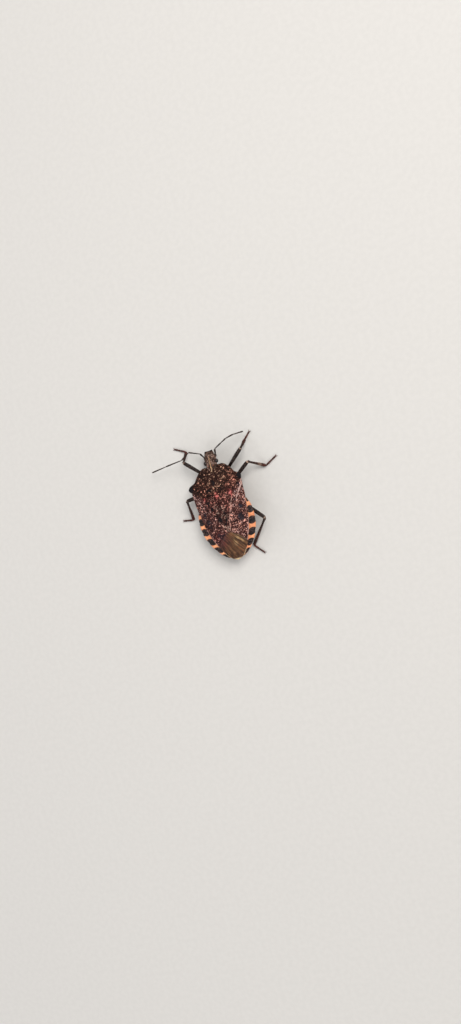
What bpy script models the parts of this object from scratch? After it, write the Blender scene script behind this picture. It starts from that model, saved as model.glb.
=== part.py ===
"""A shield bug at rest, life size, standing on six feet.

Metres, +Z up. The head points to -Y and the bug's own left side is +X. The floor
is z = 0 and the origin lies on it, on the bug's plane of symmetry, 7 mm behind
the tip of the head. Every size below is in millimetres. A place along the body is
given by its distance d behind the tip of the head.
"""

import bmesh
import bpy
import numpy as np
from mathutils import Vector

MM = 0.001

# Driving dimensions
HEAD_TIP_Y = -7.0
GAP = 0.25
WALL_GAP = 0.31
EYE_GAP = 0.19
PLATE = 0.5
RIM = 0.4
UNDER_TUCK = 0.97

# Plan of the body, as (distance behind the head's tip, half-width)
HEAD_HALF = (
    (0.0, 0.56), (0.12, 0.6), (0.45, 0.7), (0.8, 0.78), (1.05, 0.89), (1.3, 0.79), (1.6, 0.66),
    (2.1, 0.82), (2.35, 0.86),
)
PRONOTUM_HALF = (
    (2.25, 1.8), (2.6, 2.2), (3.1, 2.65), (3.6, 2.97), (3.85, 3.25), (4.1, 3.6), (4.45, 3.91),
    (4.95, 3.85),
)
SCUTELLUM_HALF = (
    (6.2, 2.35), (7.5, 1.85), (8.5, 1.45), (9.5, 1.02), (10.3, 0.74), (11.0, 0.56), (11.5, 0.42),
    (11.7, 0.26),
)
COSTA_HALF = (
    (5.2, 3.76), (5.85, 3.72), (7.2, 3.66), (8.3, 3.51), (10.0, 3.28), (11.0, 3.08), (12.15, 2.72),
    (13.4, 2.15), (14.1, 1.8),
)
MEMBRANE_HALF = ((13.4, 2.15), (14.1, 1.8), (14.7, 1.42), (15.2, 1.0), (15.5, 0.65), (15.7, 0.25))
ABDOMEN_HALF = (
    (8.0, 3.75), (8.6, 3.95), (9.4, 4.08), (10.2, 4.06), (11.3, 3.93), (12.2, 3.62), (13.3, 3.08),
    (14.1, 2.5), (14.7, 1.95), (15.2, 1.3),
)

# Heights over the floor, as (distance behind the head's tip, height)
HEAD_CREST = ((0.0, 1.85), (0.5, 2.08), (1.2, 2.36), (1.9, 2.52), (2.35, 2.56))
HEAD_EDGE = ((0.0, 1.72), (0.5, 1.8), (1.2, 1.92), (2.35, 2.1))
HEAD_KEEL = ((0.0, 1.42), (0.6, 1.25), (1.4, 1.12), (2.35, 1.2))
PRONOTUM_CREST = ((2.6, 2.58), (3.4, 3.0), (4.6, 3.45), (6.2, 3.75))
PRONOTUM_EDGE = ((2.25, 2.1), (3.2, 2.36), (4.0, 2.8), (4.55, 3.05), (4.95, 2.98))
PRONOTUM_KEEL = ((2.6, 1.3), (3.4, 1.08), (6.2, 1.05))
BACK_CREST = (
    (5.6, 3.72), (7.2, 3.78), (9.0, 3.55), (11.0, 3.15), (12.5, 2.82), (14.0, 2.52), (15.7, 2.22),
)
COSTA_EDGE = ((5.6, 2.66), (9.0, 2.6), (12.0, 2.5), (14.0, 2.33), (15.7, 2.15))
THORAX_KEEL = 1.05
ABDOMEN_EDGE = ((8.0, 2.4), (11.0, 2.34), (13.5, 2.22), (15.2, 2.08))
ABDOMEN_KEEL = ((8.0, 0.82), (10.0, 0.72), (12.0, 0.8), (13.5, 1.0), (15.2, 1.18))

# Where each piece of the body begins and ends
HEAD_END = 2.35
PRONOTUM_FRONT = 2.6
PRONOTUM_CORNER = 2.25
PRONOTUM_NECK = (0.52, 0.76)
PRONOTUM_BACK = 6.2
PRONOTUM_SHOULDER = 4.4
BACK_SLANT = 0.5
REAR_CUT = (2.3, 3.8, 0.9)
THORAX_MIDDLE = 6.9
THORAX_END = 7.75
THORAX_HALF = 3.2
THORAX_RIM = 0.35
ABDOMEN_START = 8.0
ABDOMEN_END = 15.2
SCUTELLUM_TIP = 11.7
CORIUM_APEX = 13.4
APEX_ROOM = 0.3
MEMBRANE_TIP = 15.7

# Sutures between the plates of the abdomen's rim, and the plates' relief
SUTURES = (8.0, 9.33, 10.85, 12.4, 13.75, 15.2)
PLATE_BULGE = 0.09
PLATE_SCALLOP = 0.07
RIM_DROP = 0.08
BELLY_GROOVE = 0.05

# Relief of the head: its middle lobe, the grooves beside it and the horns of its cheeks
CREST_POWER = 2.2
HEAD_RIM = 0.3
LOBE_HALF = 0.2
LOBE_SPREAD = 0.04
LOBE_END = 1.5
LOBE_GROOVE = 0.07
GROOVE_WIDTH = 0.07
HORN_REACH = 0.12
HORN_SPREAD = 0.32

# Relief of the first shield: two cushions behind the neck and a ridge at each margin
CUSHION_HEIGHT = 0.09
CUSHION_PLACE = (0.85, 3.25)
CUSHION_SIZE = (0.5, 0.3)
MARGIN_RIDGE = 0.06
MARGIN_PLACE = 0.97
MARGIN_WIDTH = 0.05

# Relief of the wings and the scutellum
VEIN_HEIGHT = 0.08
VEIN_SPACING = 0.55
VEIN_LEAN = 0.5
VEIN_FADE = 1.2
CORIUM_VEIN = (0.78, 0.16)
CLAVUS_GROOVE = (0.55, 0.12)
CORIUM_STEP = 0.07
SCUTELLUM_RISE = 0.12

# Eyes
EYE_RADII = (0.35, 0.34, 0.31)
EYE_CENTRE = (0.88, 1.58, 2.0)

# Limb radii
FEMUR_RADIUS = 0.28
TIBIA_RADIUS = 0.24
TARSUS_RADIUS = 0.22
TOE_RADIUS = 0.13
FOOT_BEADS = 3
ANTENNA_RADIUS = 0.25
ANTENNA_TIP = 0.13
ANTENNA_JOINTS = {"base": (0.3,), "tip": (0.3, 0.62)}
BEAK_RADIUS = 0.24
BEAK_JOINTS = (0.22, 0.5, 0.76)
HIP_RADIUS = 0.36
KNEE_RADIUS = 0.28
ANKLE_RADIUS = 0.25
BALL_FLAT = 0.45
FOOT_HEIGHT = 0.2
CLAW_LENGTH = 0.34
CLAW_RADIUS = 0.09
CLAW_SPREAD = 0.5

# Legs: hip on the underside (x, d), then knee, ankle and toe (x, d, height)
LEGS = {
    "front_right": ((-1.15, 3.6), (-4.71, 0.9, 2.0), (-5.14, -0.2, 0.3), (-6.04, -1.06, FOOT_HEIGHT)),
    "front_left": ((1.15, 3.6), (3.93, 0.5, 2.0), (3.73, -1.05, 0.3), (5.31, -1.9, FOOT_HEIGHT)),
    "middle_right": ((-1.3, 5.45), (-5.12, 2.97, 1.95), (-7.07, 4.17, 0.3), (-8.73, 3.29, FOOT_HEIGHT)),
    "middle_left": ((1.3, 5.45), (5.04, 5.87, 2.0), (5.45, 8.67, 0.3), (6.93, 8.42, FOOT_HEIGHT)),
    "hind_right": ((-1.6, 7.05), (-5.29, 11.09, 1.95), (-2.17, 14.45, 0.3), (-3.34, 15.8, FOOT_HEIGHT)),
    "hind_left": ((1.6, 7.05), (3.85, 11.5, 1.2), (0.75, 14.55, 0.3), (-0.35, 15.2, FOOT_HEIGHT)),
}

# Antennae: the base's path and the tip's path (x, d, height)
ANTENNAE = {
    "left": (
        ((1.02, 0.62, 1.5), (1.3, -0.03, 1.68), (2.45, -0.55, 2.1)),
        ((2.66, -0.64, 2.2), (2.78, -0.66, 2.24), (3.94, 0.12, 2.5), (6.6, 0.27, 2.1), (9.04, 0.45, 1.65)),
    ),
    "right": (
        ((-1.02, 0.62, 1.5), (-0.98, -0.08, 1.65), (-1.95, -0.55, 1.78)),
        ((-2.17, -0.65, 1.8), (-2.95, -1.0, 1.85), (-4.1, -1.26, 1.65), (-5.51, -1.27, 1.3)),
    ),
}
BEAK = ((0.0, 0.6, 0.98), (0.0, 1.0, 0.68), (0.0, 1.9, 0.58), (0.0, 3.2, 0.54), (0.0, 6.5, 0.5))

# Colours as red, green, blue, and roughness
COLOURS = {
    "head": (0.11, 0.07, 0.05, 0.55),
    "eye": (0.03, 0.015, 0.01, 0.2),
    "shield": (0.13, 0.06, 0.045, 0.5),
    "wing": (0.2, 0.09, 0.07, 0.5),
    "abdomen": (0.5, 0.22, 0.12, 0.45),
    "thorax": (0.12, 0.07, 0.05, 0.55),
    "leg": (0.03, 0.018, 0.015, 0.4),
    "tibia": (0.06, 0.025, 0.018, 0.4),
    "antenna": (0.05, 0.03, 0.025, 0.5),
}


def clear_scene():
    for obj in list(bpy.data.objects):
        bpy.data.objects.remove(obj)


def new_collection(name):
    collection = bpy.data.collections.new(name)
    bpy.context.scene.collection.children.link(collection)
    return collection


def make_materials():
    materials = {}
    for name, (red, green, blue, roughness) in COLOURS.items():
        material = bpy.data.materials.new(name)
        material.use_nodes = True
        shader = material.node_tree.nodes["Principled BSDF"]
        shader.inputs["Base Color"].default_value = (red, green, blue, 1.0)
        shader.inputs["Roughness"].default_value = roughness
        shader.inputs["Metallic"].default_value = 0.0
        materials[name] = material
    return materials


def along(stations, d):
    """The smooth curve through the stations (distance, value), read at d."""
    known, value = np.array(stations).T
    slope = np.gradient(value, known)
    d = np.clip(d, known[0], known[-1])
    i = np.clip(np.searchsorted(known, d, side="right") - 1, 0, len(known) - 2)
    step = known[i + 1] - known[i]
    f = (d - known[i]) / step
    start = value[i] * (1 + 2 * f) * (1 - f) ** 2 + slope[i] * step * f * (1 - f) ** 2
    end = value[i + 1] * (3 - 2 * f) * f**2 + slope[i + 1] * step * f**2 * (f - 1)
    return start + end


def back_height(x, d):
    """The surface of the closed wings: an arch from one costal edge to the other."""
    crest = along(BACK_CREST, d)
    edge = along(COSTA_EDGE, d)
    half = np.maximum(costa_half(d), np.abs(x))
    return edge + (crest - edge) * (1 - (np.abs(x) / half) ** 2)


def costa_half(d):
    """Half the width over both wings at d, corium first and then membrane."""
    return np.where(d < CORIUM_APEX, along(COSTA_HALF, d), along(MEMBRANE_HALF, d))


def pronotum_wall(x, z):
    """Distance d of the first thorax segment's rear wall at x and height z.

    The wall leans forward as it goes down, and beside the scutellum it runs forward
    to the shoulders.
    """
    inner, outer, cut = REAR_CUT
    share = np.clip((np.abs(x) - inner) / (outer - inner), 0, 1)
    return PRONOTUM_BACK - (along(PRONOTUM_CREST, PRONOTUM_BACK) - z) * BACK_SLANT - cut * share


def place(x, d, z):
    """World points in metres from x, distance behind the head's tip, and height."""
    return np.stack(np.broadcast_arrays(x, d + HEAD_TIP_Y, z), axis=-1) * MM


def link(obj, collection, material):
    collection.objects.link(obj)
    obj.data.materials.append(material)
    if obj.type == "MESH":
        obj.data.shade_smooth()
        obj.data.set_sharp_from_angle(angle=0.7)
    return obj


def closed_loft(name, top, bottom, collection, material):
    """One closed body between two grids of points, joined round their border.

    Both grids run from front to back in rows and from -X to +X in columns, and both
    are split along the same diagonals.
    """
    rows, columns = top.shape[:2]
    count = rows * columns
    index = np.arange(count).reshape(rows, columns)
    a, b, c, d = index[:-1, :-1], index[:-1, 1:], index[1:, 1:], index[1:, :-1]
    upper = np.concatenate([np.stack(t, -1).reshape(-1, 3) for t in ((a, b, c), (a, c, d))])
    lower = upper[:, ::-1] + count
    border = np.concatenate([index[0, :-1], index[:-1, -1], index[-1, :0:-1], index[:0:-1, 0]])
    after = np.roll(border, -1)
    walls = np.concatenate(
        [np.stack((after, border, border + count), -1), np.stack((after, border + count, after + count), -1)]
    )
    mesh = bpy.data.meshes.new(name)
    points = np.concatenate([top.reshape(-1, 3), bottom.reshape(-1, 3)])
    mesh.from_pydata(points.tolist(), [], np.concatenate([upper, lower, walls]).tolist())
    return link(bpy.data.objects.new(name, mesh), collection, material)


def unit_grid(rows, columns):
    """Columns of v from -1 to 1 across the body, rows of u from 0 to 1 along it."""
    v, u = np.meshgrid(np.linspace(-1, 1, columns), np.linspace(0, 1, rows))
    return u, v


def cut_away(obj, point, outward):
    """Cuts off what lies beyond the plane through the point, and closes the cut."""
    bm = bmesh.new()
    bm.from_mesh(obj.data)
    everything = bm.verts[:] + bm.edges[:] + bm.faces[:]
    cut = bmesh.ops.bisect_plane(bm, geom=everything, plane_co=point, plane_no=outward, clear_outer=True)
    rim = [item for item in cut["geom_cut"] if isinstance(item, bmesh.types.BMEdge)]
    bmesh.ops.edgeloop_fill(bm, edges=rim)
    bmesh.ops.recalc_face_normals(bm, faces=bm.faces)
    bm.to_mesh(obj.data)
    bm.free()


def bump(distance, width):
    """A smooth rise of height 1 at distance 0, which fades over the width."""
    return np.exp(-((distance / width) ** 2))


def make_head(collection, material):
    """The head, with the horns of its cheeks reaching past the middle lobe."""
    u, v = unit_grid(15, 17)
    d = HEAD_END * u
    x = v * along(HEAD_HALF, d)
    crest, edge, keel = (along(s, d) for s in (HEAD_CREST, HEAD_EDGE, HEAD_KEEL))
    upper = edge + (crest - edge) * (1 - np.abs(v) ** CREST_POWER)
    lobe_half = LOBE_HALF + LOBE_SPREAD * d
    upper = upper - LOBE_GROOVE * bump(np.abs(x) - lobe_half, GROOVE_WIDTH) * (d < LOBE_END)
    lower = keel + (edge - HEAD_RIM - keel) * np.abs(v) ** 2.5
    d = d - HORN_REACH * (1 - bump(x, HORN_SPREAD)) * (1 - u) ** 3
    bottom = place(x * UNDER_TUCK, d, lower)
    return closed_loft("head", place(x, d, upper), bottom, collection, material)


def make_eye(name, side, collection, material):
    bm = bmesh.new()
    bmesh.ops.create_uvsphere(bm, u_segments=14, v_segments=9, radius=1.0)
    mesh = bpy.data.meshes.new(name)
    bm.to_mesh(mesh)
    bm.free()
    x, d, z = EYE_CENTRE
    corners = np.empty(len(mesh.vertices) * 3)
    mesh.vertices.foreach_get("co", corners)
    corners = corners.reshape(-1, 3) * np.array(EYE_RADII) * MM + place(side * x, d, z)
    mesh.vertices.foreach_set("co", corners.ravel())
    obj = link(bpy.data.objects.new(name, mesh), collection, material)
    socket = along(HEAD_HALF, d) + EYE_GAP
    cut_away(obj, place(side * socket, d, z), (-side, 0, 0))
    return obj


def make_prothorax(collection, material):
    """The first thorax segment, with the wide shield of the pronotum as its top."""
    u, v = unit_grid(17, 25)
    reach = np.abs(v)
    inner, outer = PRONOTUM_NECK
    aside = np.clip((reach - inner) / (outer - inner), 0, 1)
    front = PRONOTUM_FRONT - (PRONOTUM_FRONT - PRONOTUM_CORNER) * aside
    middle = PRONOTUM_FRONT + (PRONOTUM_BACK - PRONOTUM_FRONT) * u
    beside = PRONOTUM_CORNER + (PRONOTUM_HALF[-1][0] - PRONOTUM_CORNER) * u
    x = v * along(PRONOTUM_HALF, beside)
    crest, keel = along(PRONOTUM_CREST, middle), along(PRONOTUM_KEEL, middle)
    edge = along(PRONOTUM_EDGE, beside)
    upper = edge + (crest - edge) * (1 - reach**CREST_POWER)
    cushion = bump(np.abs(x) - CUSHION_PLACE[0], CUSHION_SIZE[0])
    cushion = cushion * bump(middle - CUSHION_PLACE[1], CUSHION_SIZE[1])
    ridge = bump(reach - MARGIN_PLACE, MARGIN_WIDTH) * (beside < PRONOTUM_SHOULDER)
    upper = upper + CUSHION_HEIGHT * cushion + MARGIN_RIDGE * ridge
    lower = keel + (edge - RIM - keel) * reach**2
    top = place(x, front + (pronotum_wall(x[-1], upper[-1]) - front) * u, upper)
    under = x * UNDER_TUCK
    bottom = place(under, front + (pronotum_wall(under[-1], lower[-1]) - front) * u, lower)
    return closed_loft("prothorax", top, bottom, collection, material)


def make_thorax(collection, material):
    """The second and third thorax segments, under the scutellum and the wings."""
    u, v = unit_grid(7, 17)
    x = v * THORAX_HALF
    top_front = pronotum_wall(x, back_height(x, PRONOTUM_BACK) - PLATE - GAP) + WALL_GAP
    d = top_front + (THORAX_END - top_front) * u
    top = place(x, d, back_height(x, d) - PLATE - GAP)
    lower = under_thorax(x)
    bottom_front = pronotum_wall(x, lower) + WALL_GAP
    d = bottom_front + (THORAX_END - bottom_front) * u
    bottom = place(x, d, lower)
    return closed_loft("thorax", top, bottom, collection, material)


def under_thorax(x):
    """Height of the thorax's underside, which rises from the middle to the sides."""
    edge = back_height(THORAX_HALF, THORAX_MIDDLE) - PLATE - GAP - THORAX_RIM
    return THORAX_KEEL + (edge - THORAX_KEEL) * (np.abs(x) / THORAX_HALF) ** 2


def make_scutellum(collection, material):
    u, v = unit_grid(13, 11)
    x_front = v * SCUTELLUM_HALF[0][1]
    front = pronotum_wall(x_front, back_height(x_front, PRONOTUM_BACK)) + WALL_GAP
    d = front + (SCUTELLUM_TIP - front) * u
    x = v * along(SCUTELLUM_HALF, d)
    height = back_height(x, d)
    top = place(x, d, height + SCUTELLUM_RISE)
    bottom = place(x, d, height - PLATE)
    return closed_loft("scutellum", top, bottom, collection, material)


def vein_relief(x, d):
    """Height of the main veins over a wing that lies on the +X side.

    On the membrane the veins run back and across in even rows from the corium's rear
    edge. On the corium one vein runs along its middle, and one groove parts the clavus.
    """
    past = d - SCUTELLUM_TIP - (CORIUM_APEX - SCUTELLUM_TIP) * x / costa_half(CORIUM_APEX)
    membrane = np.clip(past / GAP, 0, 1)
    rows = (x + VEIN_LEAN * (d - SCUTELLUM_TIP)) / VEIN_SPACING
    veins = (0.5 + 0.5 * np.cos(2 * np.pi * rows)) ** 2
    fade = np.clip((MEMBRANE_TIP - d) / VEIN_FADE, 0, 1)
    share, width = CORIUM_VEIN
    ridge = bump(x - along(COSTA_HALF, d) * share, width)
    strip, width = CLAVUS_GROOVE
    groove = bump(x - along(SCUTELLUM_HALF, d) - strip, width)
    corium = CORIUM_STEP + VEIN_HEIGHT * 0.8 * (ridge - groove)
    return membrane * VEIN_HEIGHT * veins * fade + (1 - membrane) * corium


def make_wing(side, covers, collection, material):
    """One forewing. The wing on top carries the membrane that covers both.

    The inner edge follows the scutellum and then the far side's corium, from the
    scutellum's tip to the apex, so the two wings meet along that line.
    """
    name = "forewing_left" if side > 0 else "forewing_right"
    end = MEMBRANE_TIP if covers else CORIUM_APEX - APEX_ROOM
    u, v = unit_grid(34 if covers else 20, 21 if covers else 12)
    across = (v + 1) / 2
    base_inner = along(SCUTELLUM_HALF, PRONOTUM_BACK) + GAP
    base = base_inner + (costa_half(PRONOTUM_BACK) - base_inner) * across
    front = pronotum_wall(base, back_height(base, PRONOTUM_BACK)) + WALL_GAP
    d = front + (end - front) * u
    share = np.clip((d - SCUTELLUM_TIP) / (CORIUM_APEX - SCUTELLUM_TIP), 0, 1)
    suture = GAP / 2 + costa_half(d) * share
    if covers:
        beyond = np.clip((d - SCUTELLUM_TIP) / (3 * GAP), 0, 1)
        beside = along(SCUTELLUM_HALF, d) + GAP
        inner = beside * (1 - beyond) + (GAP - suture) * beyond
        inner = np.where(d < SCUTELLUM_TIP + GAP, beside, np.maximum(inner, -costa_half(d)))
    else:
        inner = np.where(d < SCUTELLUM_TIP, along(SCUTELLUM_HALF, d) + GAP, suture)
    outer = costa_half(d) - GAP / 2 * np.clip((CORIUM_APEX - d) / GAP, 0, 1)
    inner = np.minimum(inner, outer - 0.3)
    x = inner + (outer - inner) * across
    height = back_height(x, d)
    upper = height + vein_relief(x, d)
    lower = height - PLATE
    x = side * x
    if side < 0:
        x, d, upper, lower = (grid[:, ::-1] for grid in (x, d, upper, lower))
    return closed_loft(name, place(x, d, upper), place(x, d, lower), collection, material)


def make_abdomen(collection, material):
    """The abdomen, hollowed under the wings, with its rim standing beside them.

    The rim is a row of plates. Each bulges in its middle and its outer edge bows out,
    and a groove at each suture runs on across the belly.
    """
    shares = np.array([0.0, 0.07, 0.25, 0.5, 0.75, 0.93])
    starts, ends = np.array(SUTURES[:-1]), np.array(SUTURES[1:])
    d = (starts[:, None] + (ends - starts)[:, None] * shares).ravel()
    within = np.tile(shares, len(starts))
    d = np.append(d, ABDOMEN_END)[:, None]
    within = np.append(within, 1.0)[:, None]
    bulge = 1 - np.abs(2 * within - 1) ** 6
    half = along(ABDOMEN_HALF, d) + PLATE_SCALLOP * (bulge - 1) * (d > ABDOMEN_START)
    ledge = costa_half(d) + GAP / 2
    ledge = np.minimum(ledge, half - 0.1)
    inside = ledge - 0.03
    inner = inside * np.linspace(0, 1, 7)[None, :]
    rim = ledge + (half - ledge) * np.linspace(0, 1, 4)[None, :]
    x = np.concatenate([inner, rim], axis=1)
    floor = back_height(inner, d) - PLATE - GAP
    edge = along(ABDOMEN_EDGE, d)
    slope = (rim - ledge) / (half - ledge)
    shoulder = along(COSTA_EDGE, d) - RIM_DROP
    swell = PLATE_BULGE * (bulge - 0.5) * np.sin(np.pi * (0.2 + 0.6 * slope))
    plates = shoulder + (edge - shoulder) * slope + swell
    upper = np.concatenate([floor, plates], axis=1)
    keel = along(ABDOMEN_KEEL, d)
    lower = keel + (edge - RIM - keel) * (x / half) ** 1.5 + BELLY_GROOVE * (1 - bulge)
    mirror = np.concatenate([-x[:, :0:-1], x], axis=1)
    upper = np.concatenate([upper[:, :0:-1], upper], axis=1)
    lower = np.concatenate([lower[:, :0:-1], lower], axis=1)
    return closed_loft("abdomen", place(mirror, d, upper), place(mirror, d, lower), collection, material)


def rounded(path, bend, steps=3):
    """The path with each corner replaced by a parabola that starts bend before it."""
    points = [path[0]]
    for before, corner, after in zip(path, path[1:], path[2:]):
        back, ahead = before - corner, after - corner
        start = corner + back.normalized() * min(bend, back.length * 0.45)
        end = corner + ahead.normalized() * min(bend, ahead.length * 0.45)
        for i in range(steps + 1):
            f = i / steps
            points.append(start * (1 - f) ** 2 + corner * 2 * f * (1 - f) + end * f**2)
    points.append(path[-1])
    return points


def make_tube(name, path, radius_at, bend, collection, material, sides=8):
    """A tube along the path, in metres. radius_at gives its radius in mm at 0 to 1."""
    points = rounded([Vector(p) for p in path], bend) if bend else path
    lengths = np.array([(b - a).length for a, b in zip(points, points[1:])])
    share = np.concatenate([[0.0], np.cumsum(lengths) / lengths.sum()])
    curve = bpy.data.curves.new(name, "CURVE")
    curve.dimensions = "3D"
    curve.bevel_depth = MM
    curve.bevel_resolution = (sides - 4) // 2
    curve.use_fill_caps = True
    spline = curve.splines.new("POLY")
    spline.points.add(len(points) - 1)
    for point, at, f in zip(spline.points, points, share):
        point.co = (*at, 1.0)
        point.radius = radius_at(f)
    return link(bpy.data.objects.new(name, curve), collection, material)


def taper(start, end, from_share=0.0):
    """A radius that stays at start and then runs evenly to end."""
    return lambda f: start + (end - start) * max(0.0, (f - from_share) / (1 - from_share))


def jointed(radius, tip, joints, neck=0.75, width=0.035):
    """A radius that runs evenly from radius to tip and narrows at each joint."""

    def radius_at(f):
        pinch = max(np.exp(-(((f - joint) / width) ** 2)) for joint in joints)
        return (radius + (tip - radius) * f**2) * (1 - (1 - neck) * pinch)

    return radius_at


def as_mesh(obj, collection, material):
    """The object as a mesh with its caps welded on, in place of the curve."""
    graph = bpy.context.evaluated_depsgraph_get()
    mesh = bpy.data.meshes.new_from_object(obj.evaluated_get(graph))
    name = obj.name
    matrix = obj.matrix_world.copy()
    bpy.data.objects.remove(obj)
    bm = bmesh.new()
    bm.from_mesh(mesh)
    bmesh.ops.remove_doubles(bm, verts=bm.verts, dist=1e-6)
    bm.to_mesh(mesh)
    bm.free()
    mesh.materials.clear()
    made = link(bpy.data.objects.new(name, mesh), collection, material)
    made.matrix_world = matrix
    return made


def fuse(obj, pieces):
    """Joins the pieces to the object by one Boolean union and removes them."""
    group = bpy.data.collections.new("pieces")
    for piece in pieces:
        for collection in list(piece.users_collection):
            collection.objects.unlink(piece)
        group.objects.link(piece)
    bpy.context.scene.collection.children.link(group)
    union = obj.modifiers.new("union", "BOOLEAN")
    union.operation = "UNION"
    union.operand_type = "COLLECTION"
    union.collection = group
    union.solver = "MANIFOLD"
    graph = bpy.context.evaluated_depsgraph_get()
    mesh = bpy.data.meshes.new_from_object(obj.evaluated_get(graph))
    obj.modifiers.remove(union)
    obj.data = mesh
    for piece in pieces:
        bpy.data.objects.remove(piece)
    bpy.data.collections.remove(group)
    keep_largest(obj)


def keep_largest(obj):
    """Removes every closed surface of the object but the largest."""
    bm = bmesh.new()
    bm.from_mesh(obj.data)
    unseen = set(bm.verts)
    islands = []
    while unseen:
        island = {unseen.pop()}
        edge_of_island = list(island)
        while edge_of_island:
            vertex = edge_of_island.pop()
            near = {edge.other_vert(vertex) for edge in vertex.link_edges} - island
            island |= near
            edge_of_island.extend(near)
        unseen -= island
        islands.append(island)
    islands.sort(key=len)
    dropped = [vertex for island in islands[:-1] for vertex in island]
    bmesh.ops.delete(bm, geom=dropped, context="VERTS")
    bm.to_mesh(obj.data)
    bm.free()


def make_claw(toe, ahead, side, collection, material):
    """One curved claw that leaves the tip of the foot and bends down to the floor."""
    ahead = Vector((ahead.x, ahead.y, 0)).normalized()
    aside = Vector((-ahead.y, ahead.x, 0)) * side
    root = toe - ahead * 0.12 * MM - Vector((0, 0, 0.05 * MM))
    out = (ahead + aside * CLAW_SPREAD) * CLAW_LENGTH * MM
    bend = root + out * 0.55 + Vector((0, 0, 0.05 * MM))
    path = [root, bend, root + out * 1.25 - Vector((0, 0, 0.1 * MM))]
    claw = make_tube("claw", path, taper(CLAW_RADIUS, 0.03), 0, collection, material, sides=6)
    return as_mesh(claw, collection, material)


def fine(path, step=0.24 * MM):
    """The path with points added along its last stretch."""
    start, end = path[-2], path[-1]
    count = max(2, round((end - start).length / step))
    return path[:-1] + [start.lerp(end, i / count) for i in range(1, count + 1)]


def make_ball(centre, radius, collection, material):
    """A ball at a joint, with its poles turned off the limb's axis."""
    bm = bmesh.new()
    bmesh.ops.create_uvsphere(bm, u_segments=10, v_segments=7, radius=radius * MM)
    bmesh.ops.translate(bm, verts=bm.verts, vec=centre)
    mesh = bpy.data.meshes.new("ball")
    bm.to_mesh(mesh)
    bm.free()
    return link(bpy.data.objects.new("ball", mesh), collection, material)


def make_limb(name, joint, end, faces, radii, collection, material, pieces=()):
    """A straight length of leg with a ball at its joint, cut flat where it faces.

    faces points from the joint to the piece that carries this one. radii holds the
    ball's radius and the function for the tube's radius.
    """
    ball_radius, tube_radius = radii
    limb = make_tube(name, fine([joint, end]), tube_radius, 0, collection, material)
    limb = as_mesh(limb, collection, material)
    ball = make_ball(joint, ball_radius, collection, material)
    cut_away(ball, joint + faces * ball_radius * BALL_FLAT * MM, faces)
    fuse(limb, [ball, *pieces])
    return limb


def make_leg(name, points, collection, materials):
    """A leg in three pieces: hip and thigh, shin, and foot with two claws."""
    (hip_x, hip_d), knee, ankle, toe = points
    hip_z = float(under_thorax(hip_x)) - GAP - HIP_RADIUS * BALL_FLAT
    hip, knee, ankle, toe = (Vector(place(*p)) for p in ((hip_x, hip_d, hip_z), knee, ankle, toe))
    thigh = (knee - hip).normalized()
    shin = (ankle - knee).normalized()

    def femur_radius(f):
        return FEMUR_RADIUS * (0.9 + 0.16 * np.sin(np.pi * np.clip(f, 0.0, 0.9)))

    def toe_radius(f):
        beads = 0.03 * np.cos(2 * np.pi * FOOT_BEADS * f)
        return TARSUS_RADIUS - beads - (TARSUS_RADIUS - TOE_RADIUS) * max(0.0, f - 0.8) / 0.2

    knee_room = (GAP + KNEE_RADIUS * BALL_FLAT) * MM
    ankle_room = (GAP + ANKLE_RADIUS * BALL_FLAT) * MM
    make_limb(
        f"leg_{name}_femur", hip, knee - thigh * knee_room, Vector((0, 0, 1)), (HIP_RADIUS, femur_radius),
        collection, materials["leg"],
    )
    make_limb(
        f"leg_{name}_tibia", knee, ankle - shin * ankle_room, -thigh,
        (KNEE_RADIUS, taper(TIBIA_RADIUS, TIBIA_RADIUS * 0.92)), collection, materials["tibia"],
    )
    claws = [make_claw(toe, toe - ankle, side, collection, materials["tibia"]) for side in (-1, 1)]
    foot = make_limb(
        f"leg_{name}_tarsus", ankle, toe, -shin, (ANKLE_RADIUS, toe_radius), collection,
        materials["tibia"], claws,
    )
    cut_away(foot, (0, 0, 0), (0, 0, -1))


def make_antenna(side, paths, collection, material):
    base, tip = paths
    base_path = [place(*p) for p in base]
    tip_path = [place(*p) for p in tip]
    name = f"antenna_{side}"
    base_path = fine([Vector(p) for p in base_path])
    tip_path = fine([Vector(p) for p in tip_path])
    base_radius = jointed(ANTENNA_RADIUS, ANTENNA_RADIUS, ANTENNA_JOINTS["base"])
    tip_radius = jointed(ANTENNA_RADIUS, ANTENNA_TIP, ANTENNA_JOINTS["tip"])
    make_tube(f"{name}_base", base_path, base_radius, 0.2 * MM, collection, material)
    make_tube(f"{name}_tip", tip_path, tip_radius, 0.2 * MM, collection, material)


def main():
    clear_scene()
    bug = new_collection("shield_bug")
    materials = make_materials()
    make_head(bug, materials["head"])
    make_eye("eye_left", 1, bug, materials["eye"])
    make_eye("eye_right", -1, bug, materials["eye"])
    make_prothorax(bug, materials["shield"])
    make_thorax(bug, materials["thorax"])
    make_scutellum(bug, materials["shield"])
    make_wing(1, True, bug, materials["wing"])
    make_wing(-1, False, bug, materials["wing"])
    make_abdomen(bug, materials["abdomen"])
    beak_path = [place(*p) for p in BEAK]
    beak_path = fine([Vector(p) for p in beak_path])
    beak_radius = jointed(BEAK_RADIUS, 0.13, BEAK_JOINTS)
    make_tube("rostrum", beak_path, beak_radius, 0.2 * MM, bug, materials["leg"])
    for side, paths in ANTENNAE.items():
        make_antenna(side, paths, bug, materials["antenna"])
    for name, points in LEGS.items():
        make_leg(name, points, bug, materials)


main()
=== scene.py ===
"""Looks of a mottled brown shield bug at rest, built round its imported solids.

Sizes inside the classes are in millimetres, with +Z up, the head towards -Y and the
bug's own left side at +X. A place along the body is given by its distance d behind
the tip of the head. A mesh is turned to metres when it is made.
"""

from __future__ import annotations

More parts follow.
